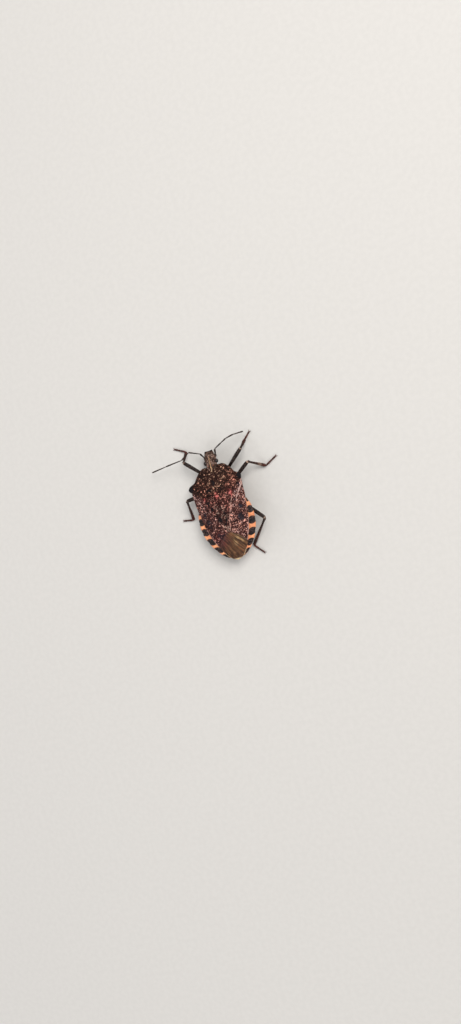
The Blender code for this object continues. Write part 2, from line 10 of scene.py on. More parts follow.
import logging
from dataclasses import dataclass, field
from enum import Enum
from typing import Sequence

import bpy
import numpy as np
from mathutils import Matrix, Vector


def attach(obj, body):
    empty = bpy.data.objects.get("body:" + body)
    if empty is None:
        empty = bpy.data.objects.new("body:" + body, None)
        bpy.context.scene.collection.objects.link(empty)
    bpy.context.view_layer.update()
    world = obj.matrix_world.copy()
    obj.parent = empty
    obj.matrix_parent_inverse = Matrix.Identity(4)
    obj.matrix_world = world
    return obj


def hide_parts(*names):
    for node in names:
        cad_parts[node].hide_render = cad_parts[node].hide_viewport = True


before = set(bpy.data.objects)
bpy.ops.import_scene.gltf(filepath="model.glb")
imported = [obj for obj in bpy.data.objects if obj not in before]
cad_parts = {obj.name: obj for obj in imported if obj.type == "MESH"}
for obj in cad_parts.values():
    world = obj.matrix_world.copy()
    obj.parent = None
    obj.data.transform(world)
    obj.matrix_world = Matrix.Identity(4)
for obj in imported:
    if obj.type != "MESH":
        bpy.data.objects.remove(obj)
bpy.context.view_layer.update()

Grid = np.ndarray
Material = bpy.types.Material
Tree = bpy.types.NodeTree
Socket = bpy.types.NodeSocket
Colour = tuple[float, float, float]
Pair = tuple[float, float]
Triple = tuple[float, float, float]
# Distance and value of each
Stations = Sequence[Pair]
# The x, d and half-width of each station of a line
Path = Sequence[Triple]
# The x, d, half-width and half-length of each spot
Ovals = Sequence[tuple[float, float, float, float]]
# Height, x, half-width, d and half-length of each
Swells = Sequence[tuple[float, float, float, float, float]]

MM = 0.001
HEAD_TIP_Y = -7.0
ARCH_POWER = 2.2
RIM_FALL = 0.35
HAIR_RADIUS = 0.009
HAIR_SINK = 0.01
FLOOR_CLEARANCE = 0.003
NO_WEAL = -1.0
LOG = logging.getLogger("shield_bug")


class Side(Enum):
    """The bug's own left and right, as the sign of x."""

    LEFT = 1
    RIGHT = -1

    @property
    def label(self) -> str:
        """The side's name in a piece's name."""
        return self.name.lower()


# Curves and fields


def along(stations: Stations, d: Grid | float) -> Grid:
    """Reads the smooth curve through stations of (distance, value).

    Cubic pieces run from station to station, with the slope at each station taken
    from its neighbours.

    Args:
        stations: Pairs of distance and value, with rising distances.
        d: Where to read the curve.

    Returns:
        The curve's value at each d, held at the end stations beyond them.
    """
    known, value = np.array(stations, float).T
    slope = np.gradient(value, known)
    d = np.clip(d, known[0], known[-1])
    i = np.clip(np.searchsorted(known, d, side="right") - 1, 0, len(known) - 2)
    step = known[i + 1] - known[i]
    f = (d - known[i]) / step
    start = value[i] * (1 + 2 * f) * (1 - f) ** 2 + slope[i] * step * f * (1 - f) ** 2
    end = value[i + 1] * (3 - 2 * f) * f**2 + slope[i + 1] * step * f**2 * (f - 1)
    return start + end


def bump(distance: Grid, width: float) -> Grid:
    """A bell curve: 1 at distance 0, e to the minus square of distance over width."""
    return np.exp(-((distance / width) ** 2))


def ramp(value: Grid, low: float, high: float) -> Grid:
    """An S curve from 0 at low to 1 at high: 3 f squared minus 2 f cubed."""
    f = np.clip((value - low) / (high - low), 0.0, 1.0)
    return f * f * (3 - 2 * f)


def quarter(share: Grid) -> Grid:
    """A quarter circle: the root of 1 minus the square of 1 minus the share."""
    return np.sqrt(1 - (1 - np.clip(share, 0, 1)) ** 2)


def half_round(w: Grid, power: float = 2.0) -> Grid:
    """A rounded profile from w = -1 to 1: the root of 1 minus |w| to the power."""
    return np.sqrt(np.clip(1 - np.abs(w) ** power, 0, 1))


def ripple(points: Grid, size: float, seed: int) -> Grid:
    """Smooth unevenness: the mean of sixteen sine waves in random directions.

    Args:
        points: Places in millimetres, with x, y, z last.
        size: The usual length of a wave in millimetres.
        seed: Picks the directions and phases.

    Returns:
        A value at each point, mostly between -0.5 and 0.5.
    """
    rng = np.random.default_rng(seed)
    heading = rng.normal(size=(3, 16))
    heading /= np.linalg.norm(heading, axis=0)
    turns = heading * (2 * np.pi / size) * rng.uniform(0.7, 1.5, 16)
    return np.sin(points @ turns + rng.uniform(0, 2 * np.pi, 16)).mean(-1) * 1.6


def place(x: Grid, d: Grid, z: Grid) -> Grid:
    """Points in millimetres from x, distance behind the head's tip, and height."""
    return np.stack(np.broadcast_arrays(x, d + HEAD_TIP_Y, z), axis=-1).astype(float)


def unit(line: Grid) -> Grid:
    """The direction of a line, one millimetre long."""
    return line / np.linalg.norm(line)


def stroke(x: Grid, d: Grid, path: Path) -> Grid:
    """A soft line along a path, read at places on the body's plan.

    For each leg of the path it is 1 minus the distance to the leg over the line's
    half-width there, and the highest leg counts.

    Args:
        x: Places across the body.
        d: Places along the body.
        path: Stations of x, d and half-width.

    Returns:
        1 on the line, 0 at its edge, down to -1 away from it.
    """
    best = np.full(np.broadcast(x, d).shape, -1.0)
    for (ax, ad, aw), (bx, bd, bw) in zip(path, path[1:]):
        length = (bx - ax) ** 2 + (bd - ad) ** 2 + 1e-9
        f = np.clip(((x - ax) * (bx - ax) + (d - ad) * (bd - ad)) / length, 0, 1)
        off = np.hypot(x - ax - f * (bx - ax), d - ad - f * (bd - ad))
        best = np.maximum(best, 1 - off / (aw + (bw - aw) * f))
    return best


def spots(x: Grid, d: Grid, places: Ovals) -> Grid:
    """Soft oval spots: 1 minus the distance in half-widths, for the nearest spot.

    Args:
        x: Places across the body.
        d: Places along the body.
        places: Each spot's x, d, half-width and half-length.

    Returns:
        1 at a spot's middle, 0 at its edge, down to -1 away from all.
    """
    best = np.full(np.broadcast(x, d).shape, -1.0)
    for cx, cd, wide, long in places:
        best = np.maximum(best, 1 - np.hypot((x - cx) / wide, (d - cd) / long))
    return best


def swells(x: Grid, d: Grid, places: Swells) -> Grid:
    """Low swells and dips: heights times bell curves across, on both sides, and along."""
    bells = [high * bump(np.abs(x) - cx, wide) * bump(d - cd, long) for high, cx, wide, cd, long in places]
    return np.sum(bells, axis=0)


# The plan that all pieces of the body share


@dataclass(frozen=True)
class BodyPlan:
    """Outlines and heights of the body, as stations of (distance, value).

    A name that ends in half holds half-widths. One that ends in crest, edge or keel
    holds heights over the floor: of the middle of the back, of the outer edge and of
    the middle of the underside.

    Attributes:
        sutures: Where the plates of the abdomen's rim meet.
        apex: Where the leathery wings end, and their half-width there.
        scutellum_tip: Where the scutellum ends.
        shield_back: Where the first shield ends on top.
        back_slant: How far its rear wall leans for each millimetre of height.
        rear_cut: Between which x its rear wall runs forward, and how far.
        thorax_half: Half-width of the thorax.
        thorax_keel: Height of its underside.
        flank: Where its flank's height is read, and how far it lies under the back.
    """

    head_half: Stations = (
        (0.0, 0.56), (0.12, 0.6), (0.45, 0.7), (0.8, 0.78), (1.05, 0.89), (1.3, 0.85), (1.6, 0.78),
        (2.1, 0.82), (2.35, 0.86), (2.8, 0.84),
    )
    head_crest: Stations = ((0.0, 1.85), (0.5, 2.08), (1.2, 2.36), (1.9, 2.52), (2.35, 2.56), (2.8, 2.56))
    head_edge: Stations = ((0.0, 1.72), (0.5, 1.8), (1.2, 1.92), (2.35, 2.1), (2.8, 2.12))
    head_keel: Stations = ((0.0, 1.42), (0.6, 1.25), (1.4, 1.12), (2.35, 1.2), (2.8, 1.3))
    shield_half: Stations = (
        (2.25, 1.8), (2.6, 2.22), (3.1, 2.67), (3.6, 2.99), (3.85, 3.27), (4.1, 3.62), (4.45, 3.93),
        (4.95, 3.86),
    )
    shield_crest: Stations = ((2.6, 2.58), (3.4, 3.0), (4.6, 3.45), (6.2, 3.78))
    shield_edge: Stations = ((2.25, 2.1), (3.2, 2.36), (4.0, 2.8), (4.55, 3.07), (4.95, 2.98))
    shield_keel: Stations = ((2.6, 1.3), (3.4, 1.08), (6.2, 1.05))
    scutellum_half: Stations = (
        (6.2, 2.35), (7.5, 1.85), (8.5, 1.45), (9.5, 1.02), (10.3, 0.74), (11.0, 0.56),
        (11.5, 0.42), (11.75, 0.3),
    )
    costa_half: Stations = (
        (4.9, 3.78), (5.3, 3.77), (5.85, 3.73), (7.2, 3.67), (8.3, 3.51), (10.0, 3.28), (11.0, 3.08),
        (12.15, 2.72), (13.4, 2.15), (14.1, 1.8),
    )
    tail_half: Stations = ((14.1, 1.82), (14.7, 1.45), (15.2, 1.03), (15.5, 0.65), (15.7, 0.1))
    membrane_half: Stations = (
        (11.3, 0.3), (11.8, 0.8), (12.6, 1.72), (13.2, 2.08), (13.7, 2.02), *tail_half,
    )
    abdomen_half: Stations = (
        (7.6, 3.6), (8.0, 3.75), (8.6, 3.95), (9.4, 4.08), (10.2, 4.06), (11.3, 3.93),
        (12.2, 3.62), (13.3, 3.08), (14.1, 2.5), (14.7, 1.95), (15.2, 1.3), (15.45, 0.7),
    )
    back_crest: Stations = (
        (5.6, 3.72), (7.2, 3.78), (9.0, 3.55), (11.0, 3.15), (12.5, 2.82), (14.0, 2.52), (15.7, 2.22),
    )
    costa_edge: Stations = ((5.6, 2.66), (9.0, 2.6), (12.0, 2.5), (14.0, 2.33), (15.7, 2.15))
    abdomen_edge: Stations = (
        (7.6, 2.42), (8.0, 2.4), (11.0, 2.34), (13.5, 2.22), (15.2, 2.08), (15.45, 2.0),
    )
    abdomen_keel: Stations = (
        (7.6, 0.9), (8.0, 0.82), (10.0, 0.72), (12.0, 0.8), (13.5, 1.0), (15.2, 1.25), (15.45, 1.5),
    )
    sutures: tuple[float, ...] = (8.0, 9.33, 10.85, 12.4, 13.75, 15.2)
    apex: Pair = (13.4, 2.15)
    scutellum_tip: float = 11.7
    shield_back: float = 6.2
    back_slant: float = 0.5
    rear_cut: Triple = (2.3, 3.8, 0.9)
    thorax_half: float = 3.2
    thorax_keel: float = 1.05
    flank: Pair = (6.9, 1.1)

    def wing_half(self, d: Grid) -> Grid:
        """Half the width over both closed wings at d."""
        past = along((self.apex, *self.tail_half), d)
        return np.where(d < self.apex[0], along(self.costa_half, d), past)

    def back(self, x: Grid, d: Grid) -> Grid:
        """The closed wings' height: edge plus the rest of the crest's height times 1
        minus the square of x over the half-width.

        Args:
            x: Places across the body.
            d: Places along the body.

        Returns:
            The height at each place.
        """
        crest, edge = along(self.back_crest, d), along(self.costa_edge, d)
        half = np.maximum(self.wing_half(d), np.abs(x))
        return edge + (crest - edge) * (1 - (np.abs(x) / half) ** 2)

    def shield_wall(self, x: Grid, z: Grid) -> Grid:
        """The first shield's rear wall: it leans with the height, and beside the
        scutellum it runs forward with x.

        Args:
            x: Places across the body.
            z: Heights on the wall.

        Returns:
            The wall's distance d at each place.
        """
        inner, outer, cut = self.rear_cut
        share = np.clip((np.abs(x) - inner) / (outer - inner), 0, 1)
        below = along(self.shield_crest, self.shield_back) - z
        return self.shield_back - below * self.back_slant - cut * share

    def under(self, x: Grid) -> Grid:
        """Height of the thorax's underside, which rises as the square of x."""
        edge = float(self.back(np.array(self.thorax_half), np.array(self.flank[0]))) - self.flank[1]
        return self.thorax_keel + (edge - self.thorax_keel) * (np.abs(x) / self.thorax_half) ** 2


PLAN = BodyPlan()


# Meshes


@dataclass
class Skin:
    """A closed surface in the making.

    Attributes:
        points: Places in millimetres, one row each.
        faces: Arrays of point numbers with three or four columns.
        values: Named numbers, one for each point, that materials read.
    """

    points: Grid
    faces: list[Grid]
    values: dict[str, Grid] = field(default_factory=dict)

    @staticmethod
    def rings(rings: Grid, **values: Grid) -> Skin:
        """Joins rings of points into a closed surface.

        Neighbouring points of neighbouring rings make a four-sided face, each ring
        closes on itself, and a fan to the mean of the first and of the last ring
        closes the ends. All faces are turned round if the volume comes out negative.

        Args:
            rings: Points as rings, points round a ring, and x, y, z.
            **values: Named numbers over the same grid.

        Returns:
            The closed skin.
        """
        rows, columns = rings.shape[:2]
        index = np.arange(rows * columns).reshape(rows, columns)
        after = np.roll(index, -1, axis=1)
        quads = np.stack((index[:-1], after[:-1], after[1:], index[1:]), -1).reshape(-1, 4)
        first = np.full(columns, rows * columns)
        caps = np.concatenate([
            np.stack((after[0], index[0], first), -1),
            np.stack((index[-1], after[-1], first + 1), -1),
        ])
        ends = rings[[0, -1]].mean(axis=1)
        points = np.concatenate([rings.reshape(-1, 3), ends])
        a, b, c, d = (points[quads[:, k]] for k in range(4))
        volume = (np.cross(b - a, c - a) * a).sum() + (np.cross(c - a, d - a) * a).sum()
        if volume < 0:
            quads, caps = quads[:, ::-1], caps[:, ::-1]
        flat = {}
        for name, grid in values.items():
            grid = np.broadcast_to(grid, (rows, columns))
            flat[name] = np.concatenate([grid.ravel(), grid[[0, -1]].mean(axis=1)])
        return Skin(points, [quads, caps], flat)

    @staticmethod
    def joined(skins: Sequence[Skin]) -> Skin:
        """Puts several skins into one, each still closed by itself.

        Args:
            skins: The skins. One that lacks a named number has 0 for it.

        Returns:
            The one skin.
        """
        start = np.cumsum([0] + [len(skin.points) for skin in skins])
        faces = [face + at for skin, at in zip(skins, start) for face in skin.faces]
        names = sorted({name for skin in skins for name in skin.values})
        values = {
            name: np.concatenate([skin.values.get(name, np.zeros(len(skin.points))) for skin in skins])
            for name in names
        }
        return Skin(np.concatenate([skin.points for skin in skins]), faces, values)

    def make(self, name: str, finish: Material, slot: str, nodes: Sequence[str] = ()) -> None:
        """Makes the object, dresses it and lets it ride on the body.

        Args:
            name: The piece's name.
            finish: Its material.
            slot: The name of the record's material slot; not used.
            nodes: The solids that the piece stands for.
        """
        mesh = bpy.data.meshes.new(name)
        corners = np.concatenate([face.ravel() for face in self.faces])
        sides = np.concatenate([np.full(len(face), face.shape[1]) for face in self.faces])
        mesh.vertices.add(len(self.points))
        mesh.vertices.foreach_set("co", (self.points * MM).astype(np.float32).ravel())
        mesh.loops.add(len(corners))
        mesh.loops.foreach_set("vertex_index", corners.astype(np.int32))
        mesh.polygons.add(len(sides))
        mesh.polygons.foreach_set("loop_start", (np.cumsum(sides) - sides).astype(np.int32))
        mesh.polygons.foreach_set("loop_total", sides.astype(np.int32))
        mesh.update(calc_edges=True)
        mesh.shade_smooth()
        for key, value in self.values.items():
            kept = mesh.attributes.new(key, "FLOAT", "POINT")
            kept.data.foreach_set("value", value.astype(np.float32))
        mesh.materials.append(finish)
        made = bpy.data.objects.new(name, mesh)
        bpy.context.scene.collection.objects.link(made)
        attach(made, "root")
        if nodes:
            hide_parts(*nodes)
        LOG.info("%s: %d faces for %s", name, len(sides), ", ".join(nodes) or "the scene alone")


def around(columns: int) -> tuple[Grid, Grid]:
    """A flattened ring: w, which goes from 1 to -1 over the top and back, and 1 on top."""
    angle = 2 * np.pi * (np.arange(columns) + 0.5) / columns
    return np.cos(angle)[None, :], (np.sin(angle) > 0)[None, :].astype(float)


def lengthwise(rows: int) -> Grid:
    """Shares from 0 to 1 down a column, one for each ring along a piece."""
    return np.linspace(0, 1, rows)[:, None]


def sheet_rings(x: Grid, d: Grid, top: Grid, w: Grid, upper: Grid, thick: float) -> Grid:
    """A thin plate whose rim is round.

    The underside lies below the top by the thickness times the root of 1 minus w to
    the sixth, and the top falls by about a third of that shortfall towards the rim.

    Args:
        x: Places across the body.
        d: Places along the body.
        top: Height of the plate's upper side.
        w: Place across the plate, from -1 to 1.
        upper: 1 on the upper side and 0 below.
        thick: The plate's thickness.

    Returns:
        The rings of points.
    """
    full = thick * half_round(w, 6)
    level = top - (thick - full) * RIM_FALL
    return place(x, d, level - full * (1 - upper))


@dataclass(frozen=True)
class Rod:
    """A straight or slightly bowed length of limb with rounded ends.

    Attributes:
        start: Its first end in millimetres.
        end: Its other end.
        radii: Stations of (share of the length, radius).
        bow: How far its middle stands off the straight line, upwards.
        flute: Depth of the grooves along it, as a share of the radius.
        ridges: How many ridges run along it.
        sides: Points round it.
        rows: Rings along it.
        nose: Length of its rounded ends, in radii.
    """

    start: Sequence[float]
    end: Sequence[float]
    radii: Stations
    bow: float = 0.0
    flute: float = 0.0
    ridges: int = 3
    sides: int = 20
    rows: int = 36
    nose: float = 0.8

    def axes(self) -> tuple[Grid, Grid, Grid]:
        """The rod's own directions.

        Returns:
            Its line, and two directions square to it, the second mostly upward.
        """
        line = unit(np.array(self.end, float) - np.array(self.start, float))
        steep = abs(line[2]) >= 0.9
        aside = unit(np.cross(line, (0.0, 1.0, 0.0) if steep else (0.0, 0.0, 1.0)))
        return line, aside, np.cross(aside, line)

    def surface(self, f: Grid, angle: Grid) -> tuple[Grid, Grid]:
        """Points on the rod and the directions out of it.

        The axis is start plus f times the line, plus the bow times 4 f (1 - f), and
        the radius at f is multiplied by 1 plus the flute times a cosine round it.
        Both ends are rounded as quarter circles.

        Args:
            f: Shares of the length.
            angle: Angles round the rod.

        Returns:
            The points, and the directions away from the axis.
        """
        _, aside, lift = self.axes()
        start, end = np.array(self.start, float), np.array(self.end, float)
        axis = start + f[..., None] * (end - start) + lift * (self.bow * 4 * f * (1 - f))[..., None]
        out = aside * np.cos(angle)[..., None] + lift * np.sin(angle)[..., None]
        rise = along(self.radii, f)
        noses = np.linalg.norm(end - start) / (self.nose * rise)
        ends = quarter(f * noses) * quarter((1 - f) * noses)
        radius = rise * ends * (1 + self.flute * np.cos(self.ridges * angle))
        return axis + out * radius[..., None], out

    def skin(self, **values: float | Stations) -> Skin:
        """The rod's closed skin, with rings that lie closer towards both ends.

        Args:
            **values: Named numbers, each one number or stations along the rod.

        Returns:
            The skin.
        """
        f = 0.5 - 0.5 * np.cos(np.pi * (np.arange(self.rows) + 0.35) / (self.rows - 0.3))
        angle = 2 * np.pi * np.arange(self.sides) / self.sides
        f, angle = np.meshgrid(f, angle, indexing="ij")
        grids = {
            name: np.full(f.shape, float(value)) if np.isscalar(value) else along(value, f)
            for name, value in values.items()
        }
        return Skin.rings(self.surface(f, angle)[0], **grids)

    def bristles(self, count: int, length: float, seed: int, lean: float = 0.8) -> Skin:
        """Fine hairs: three-sided cones that leave the rod and lean towards its end.

        Args:
            count: How many hairs.
            length: The usual length of a hair in millimetres.
            seed: Picks their places.
            lean: How far they lean along the rod, against 1 outward.

        Returns:
            All the hairs as one skin, none of it below the floor.
        """
        rng = np.random.default_rng(seed)
        f, angle = rng.uniform(0.06, 0.96, count), rng.uniform(0, 2 * np.pi, count)
        foot, out = self.surface(f, angle)
        heading = out + self.axes()[0] * lean + rng.normal(scale=0.12, size=(count, 3))
        heading /= np.linalg.norm(heading, axis=1)[:, None]
        tip = foot + heading * (length * rng.uniform(0.6, 1.2, count))[:, None]
        first = np.cross(heading, out + 0.1)
        first /= np.linalg.norm(first, axis=1)[:, None]
        second = np.cross(heading, first)
        turn = 2 * np.pi * np.arange(3)[:, None] / 3
        round_foot = first[:, None] * np.cos(turn) + second[:, None] * np.sin(turn)
        base = (foot - out * HAIR_SINK)[:, None] + HAIR_RADIUS * round_foot
        points = np.concatenate([base, tip[:, None]], axis=1).reshape(-1, 3)
        points[:, 2] = np.maximum(points[:, 2], FLOOR_CLEARANCE)
        one = np.array(((0, 1, 3), (1, 2, 3), (2, 0, 3), (0, 2, 1)))
        faces = (one[None] + 4 * np.arange(count)[:, None, None]).reshape(-1, 3)
        return Skin(points, [faces])


def ball(centre: Grid, radii: Triple, rows: int = 24, columns: int = 32, **values: float) -> Skin:
    """An ellipsoid: the sine and cosine of its latitude times its radii, round z.

    Args:
        centre: Its centre in millimetres.
        radii: Its half-sizes along x, y and z.
        rows: Rings from top to bottom.
        columns: Points round a ring.
        **values: Named numbers, the same all over it.

    Returns:
        The skin.
    """
    latitude = (np.pi * (np.arange(rows) + 0.5) / rows)[:, None]
    longitude = 2 * np.pi * np.arange(columns) / columns
    flat = np.sin(latitude)
    out = np.broadcast_arrays(flat * np.cos(longitude), flat * np.sin(longitude), np.cos(latitude))
    return Skin.rings(np.stack(out, -1) * np.array(radii) + centre, **values)


# Shader tools


class Desk:
    """Adds nodes to a tree, fills their sockets and joins them."""

    def __init__(self, tree: Tree) -> None:
        """Keeps the tree, and counts nodes so that they lie in rows."""
        self.tree = tree
        self.count = 0

    def fill(self, socket: Socket, value: object) -> None:
        """Joins a socket to the value if that is a socket too, and else sets it.

        Args:
            socket: The input to fill.
            value: A socket, a number, a colour or a vector.
        """
        if isinstance(value, bpy.types.NodeSocket):
            self.tree.links.new(value, socket)
        elif isinstance(value, tuple) and socket.type == "RGBA":
            socket.default_value = (*value[:3], 1.0)
        else:
            socket.default_value = value

    def add(
        self, kind: str, inputs: dict[str | int, object] | None = None, **settings: object
    ) -> bpy.types.Node:
        """Adds a node with its settings and inputs.

        Args:
            kind: The node's class name without the word ShaderNode.
            inputs: Values or sockets for its inputs, by name or number.
            **settings: The node's own properties.

        Returns:
            The node.
        """
        node = self.tree.nodes.new(f"ShaderNode{kind}")
        node.location = (200 * (self.count % 12), -260 * (self.count // 12))
        self.count += 1
        for name, value in settings.items():
            setattr(node, name, value)
        for name, value in (inputs or {}).items():
            self.fill(node.inputs[name], value)
        return node

    def math(self, operation: str, a: object, b: object = 0.0) -> Socket:
        """One step of arithmetic on numbers or sockets."""
        return self.add("Math", {0: a, 1: b}, operation=operation).outputs[0]

    def times(self, a: object, b: object) -> Socket:
        """The product of two numbers."""
        return self.math("MULTIPLY", a, b)

    def mixed(self, a: object, share: object, base: object) -> Socket:
        """The first number times a share, and a base added to it."""
        return self.add("Math", {0: a, 1: share, 2: base}, operation="MULTIPLY_ADD").outputs[0]

    def vector(self, operation: str, inputs: dict[int, object]) -> Socket:
        """One step of arithmetic on places. Input 3 is the factor of a scaling."""
        return self.add("VectorMath", inputs, operation=operation).outputs[0]

    def blend(self, share: object, a: object, b: object, kind: str = "MIX") -> Socket:
        """Blends two colours by a share.

        Args:
            share: How much of the second colour counts.
            a: The first colour.
            b: The second colour.
            kind: How the second colour is laid on the first.

        Returns:
            The blended colour.
        """
        node = self.add("Mix", data_type="RGBA", blend_type=kind)
        for number, value in {0: share, 6: a, 7: b}.items():
            self.fill(node.inputs[number], value)
        return node.outputs[2]

    def shade(self, colour: object, tone: Socket) -> Socket:
        """A colour made darker or lighter by a tone round 1."""
        return self.blend(1.0, colour, tone, "MULTIPLY")

    def step(self, value: object, low: float, high: float, start: float = 0.0, end: float = 1.0) -> Socket:
        """A soft step of the value from start at low to end at high."""
        inputs = {"Value": value, "From Min": low, "From Max": high, "To Min": start, "To Max": end}
        return self.add("MapRange", inputs, interpolation_type="SMOOTHSTEP").outputs["Result"]

    def named(self, name: str) -> Socket:
        """A number that the mesh keeps at its points."""
        return self.add("Attribute", attribute_name=name).outputs["Fac"]

    def point(self) -> Socket:
        """The place on the piece in millimetres."""
        return self.vector("SCALE", {0: self.add("TexCoord").outputs["Object"], 3: 1 / MM})

    def noise(
        self, where: object, scale: object, detail: float = 2.0, rough: float = 0.5, bend: float = 0.0,
        output: str = "Fac",
    ) -> Socket:
        """Noise with so many waves a millimetre, as a number or a colour."""
        inputs = {"Vector": where, "Scale": scale, "Detail": detail, "Roughness": rough, "Distortion": bend}
        return self.add("TexNoise", inputs).outputs[output]

    def cells(self, where: object, scale: object, feature: str = "F1", spread: float = 0.85) -> Socket:
        """Distance within scattered cells, so many a millimetre."""
        inputs = {"Vector": where, "Scale": scale, "Randomness": spread}
        return self.add("TexVoronoi", inputs, feature=feature).outputs["Distance"]

    def relief(self, height: Socket, depth: float) -> Socket:
        """Bumps of the given depth in millimetres where the height goes from 0 to 1."""
        inputs = {"Height": height, "Distance": depth * MM, "Strength": 1.0}
        return self.add("Bump", inputs).outputs["Normal"]

    def group(self, tree: Tree, inputs: dict[str, object]) -> list[Socket]:
        """Places a shared group with its inputs and gives its outputs in order."""
        return list(self.add("Group", inputs, node_tree=tree).outputs)


def new_group(
    name: str, inputs: dict[str, float | None], outputs: Sequence[str]
) -> tuple[Desk, dict[str, Socket], dict[str, Socket]]:
    """Starts a shader node group.

    Args:
        name: The group's name.
        inputs: Each input's usual value, or None for a place.
        outputs: The names of its outputs, all numbers.

    Returns:
        A desk for the group's tree, its input sockets and its output sockets.
    """
    tree = bpy.data.node_groups.new(name, "ShaderNodeTree")
    for key, usual in inputs.items():
        kind = "NodeSocketVector" if usual is None else "NodeSocketFloat"
        made = tree.interface.new_socket(name=key, in_out="INPUT", socket_type=kind)
        if usual is not None:
            made.default_value = usual
    for key in outputs:
        tree.interface.new_socket(name=key, in_out="OUTPUT", socket_type="NodeSocketFloat")
    start = tree.nodes.new("NodeGroupInput")
    end = tree.nodes.new("NodeGroupOutput")
    return Desk(tree), dict(start.outputs.items()), dict(end.inputs.items())


def mottle_group() -> Tree:
    """The pattern of the shell: pits, pale crooked strokes and specks, and a stain.

    Pits are the middles of scattered cells. A field adds up the walls between the
    cells, thin winding lines and a slow noise, less the dark share. Strokes are where
    it passes 0 outside the pits, and the stain is where it comes close to 0. Specks
    are the middles of larger cells, wherever the field is not far below 0.

    Returns:
        The group's tree.
    """
    inputs = {"Point": None, "Pits": 4.0, "Pit Size": 0.3, "Islands": 1.6, "Dark": 0.6}
    desk, start, end = new_group("shell_mottle", inputs, ("Island", "Stain", "Pit", "Height"))
    bent = desk.noise(start["Point"], 2.2, output="Color")
    bent = desk.vector("SUBTRACT", {0: bent, 1: (0.5, 0.5, 0.5)})
    bent = desk.vector("SCALE", {0: bent, 3: 0.32})
    where = desk.vector("ADD", {0: start["Point"], 1: bent})
    middle = desk.cells(where, start["Pits"])
    wall = desk.cells(where, start["Pits"], "DISTANCE_TO_EDGE")
    pit = desk.step(desk.math("DIVIDE", middle, start["Pit Size"]), 0.65, 1.15, 1.0, 0.0)
    ridge = desk.step(wall, 0.0, 0.28, 1.0, 0.0)
    slow = desk.noise(where, start["Islands"], 3.0, 0.6, 0.8)
    winding = desk.noise(where, desk.times(start["Islands"], 0.75), 2.0, 0.5, 1.4)
    off = desk.math("ABSOLUTE", desk.math("SUBTRACT", winding, 0.5))
    line = desk.step(off, 0.0, 0.09, 1.0, 0.0)
    level = desk.mixed(ridge, 0.18, desk.mixed(slow, 0.68, 0.16))
    level = desk.mixed(line, 0.12, level)
    over = desk.math("SUBTRACT", level, start["Dark"])
    strokes = desk.times(desk.step(over, 0.0, 0.07), desk.math("SUBTRACT", 1.0, pit))
    speck = desk.step(desk.cells(where, start["Islands"]), 0.2, 0.36, 1.0, 0.0)
    speck = desk.times(speck, desk.step(over, -0.15, -0.06))
    island = desk.math("MAXIMUM", strokes, speck)
    height = desk.mixed(island, 0.35, desk.times(desk.noise(where, 14.0), 0.25))
    desk.fill(end["Island"], island)
    desk.fill(end["Stain"], desk.step(over, -0.2, -0.01))
    desk.fill(end["Pit"], pit)
    desk.fill(end["Height"], desk.mixed(pit, -0.9, height))
    return desk.tree


def speck_group() -> Tree:
    """Fine unevenness for smooth parts: slow clouds, small specks and a grain.

    Returns:
        The group's tree.
    """
    desk, start, end = new_group("fine_specks", {"Point": None}, ("Cloud", "Speck", "Grain"))
    point = start["Point"]
    desk.fill(end["Cloud"], desk.step(desk.noise(point, 1.6, 3.0), 0.35, 0.65))
    desk.fill(end["Speck"], desk.step(desk.cells(point, 7.0, "F1", 1.0), 0.12, 0.4, 1.0, 0.0))
    desk.fill(end["Grain"], desk.noise(point, 22.0, 3.0, 0.6))
    return desk.tree


MOTTLE = mottle_group()
SPECKS = speck_group()


# Finishes


@dataclass(frozen=True, kw_only=True)
class Finish:
    """What every finish shares. A socket that paint() gives comes before these.

    Attributes:
        name: The material's name.
        specular: Strength of the plain gloss.
        coat: Weight of the coat over it.
        coat_rough: Roughness of the coat.
    """

    name: str
    specular: float = 0.25
    coat: float = 0.05
    coat_rough: float = 0.35

    def paint(self, desk: Desk) -> dict[str, Socket]:
        """The shader's sockets that change over the surface, by name."""
        raise NotImplementedError

    def material(self) -> Material:
        """Builds the material.

        Returns:
            The material, with its constants set and its pattern joined to the shader.
        """
        made = bpy.data.materials.new(self.name)
        made.use_nodes = True
        desk = Desk(made.node_tree)
        shader = made.node_tree.nodes["Principled BSDF"]
        inputs = {
            "Specular IOR Level": self.specular, "Coat Weight": self.coat,
            "Coat Roughness": self.coat_rough, **self.paint(desk),
        }
        for socket, value in inputs.items():
            desk.fill(shader.inputs[socket], value)
        return made


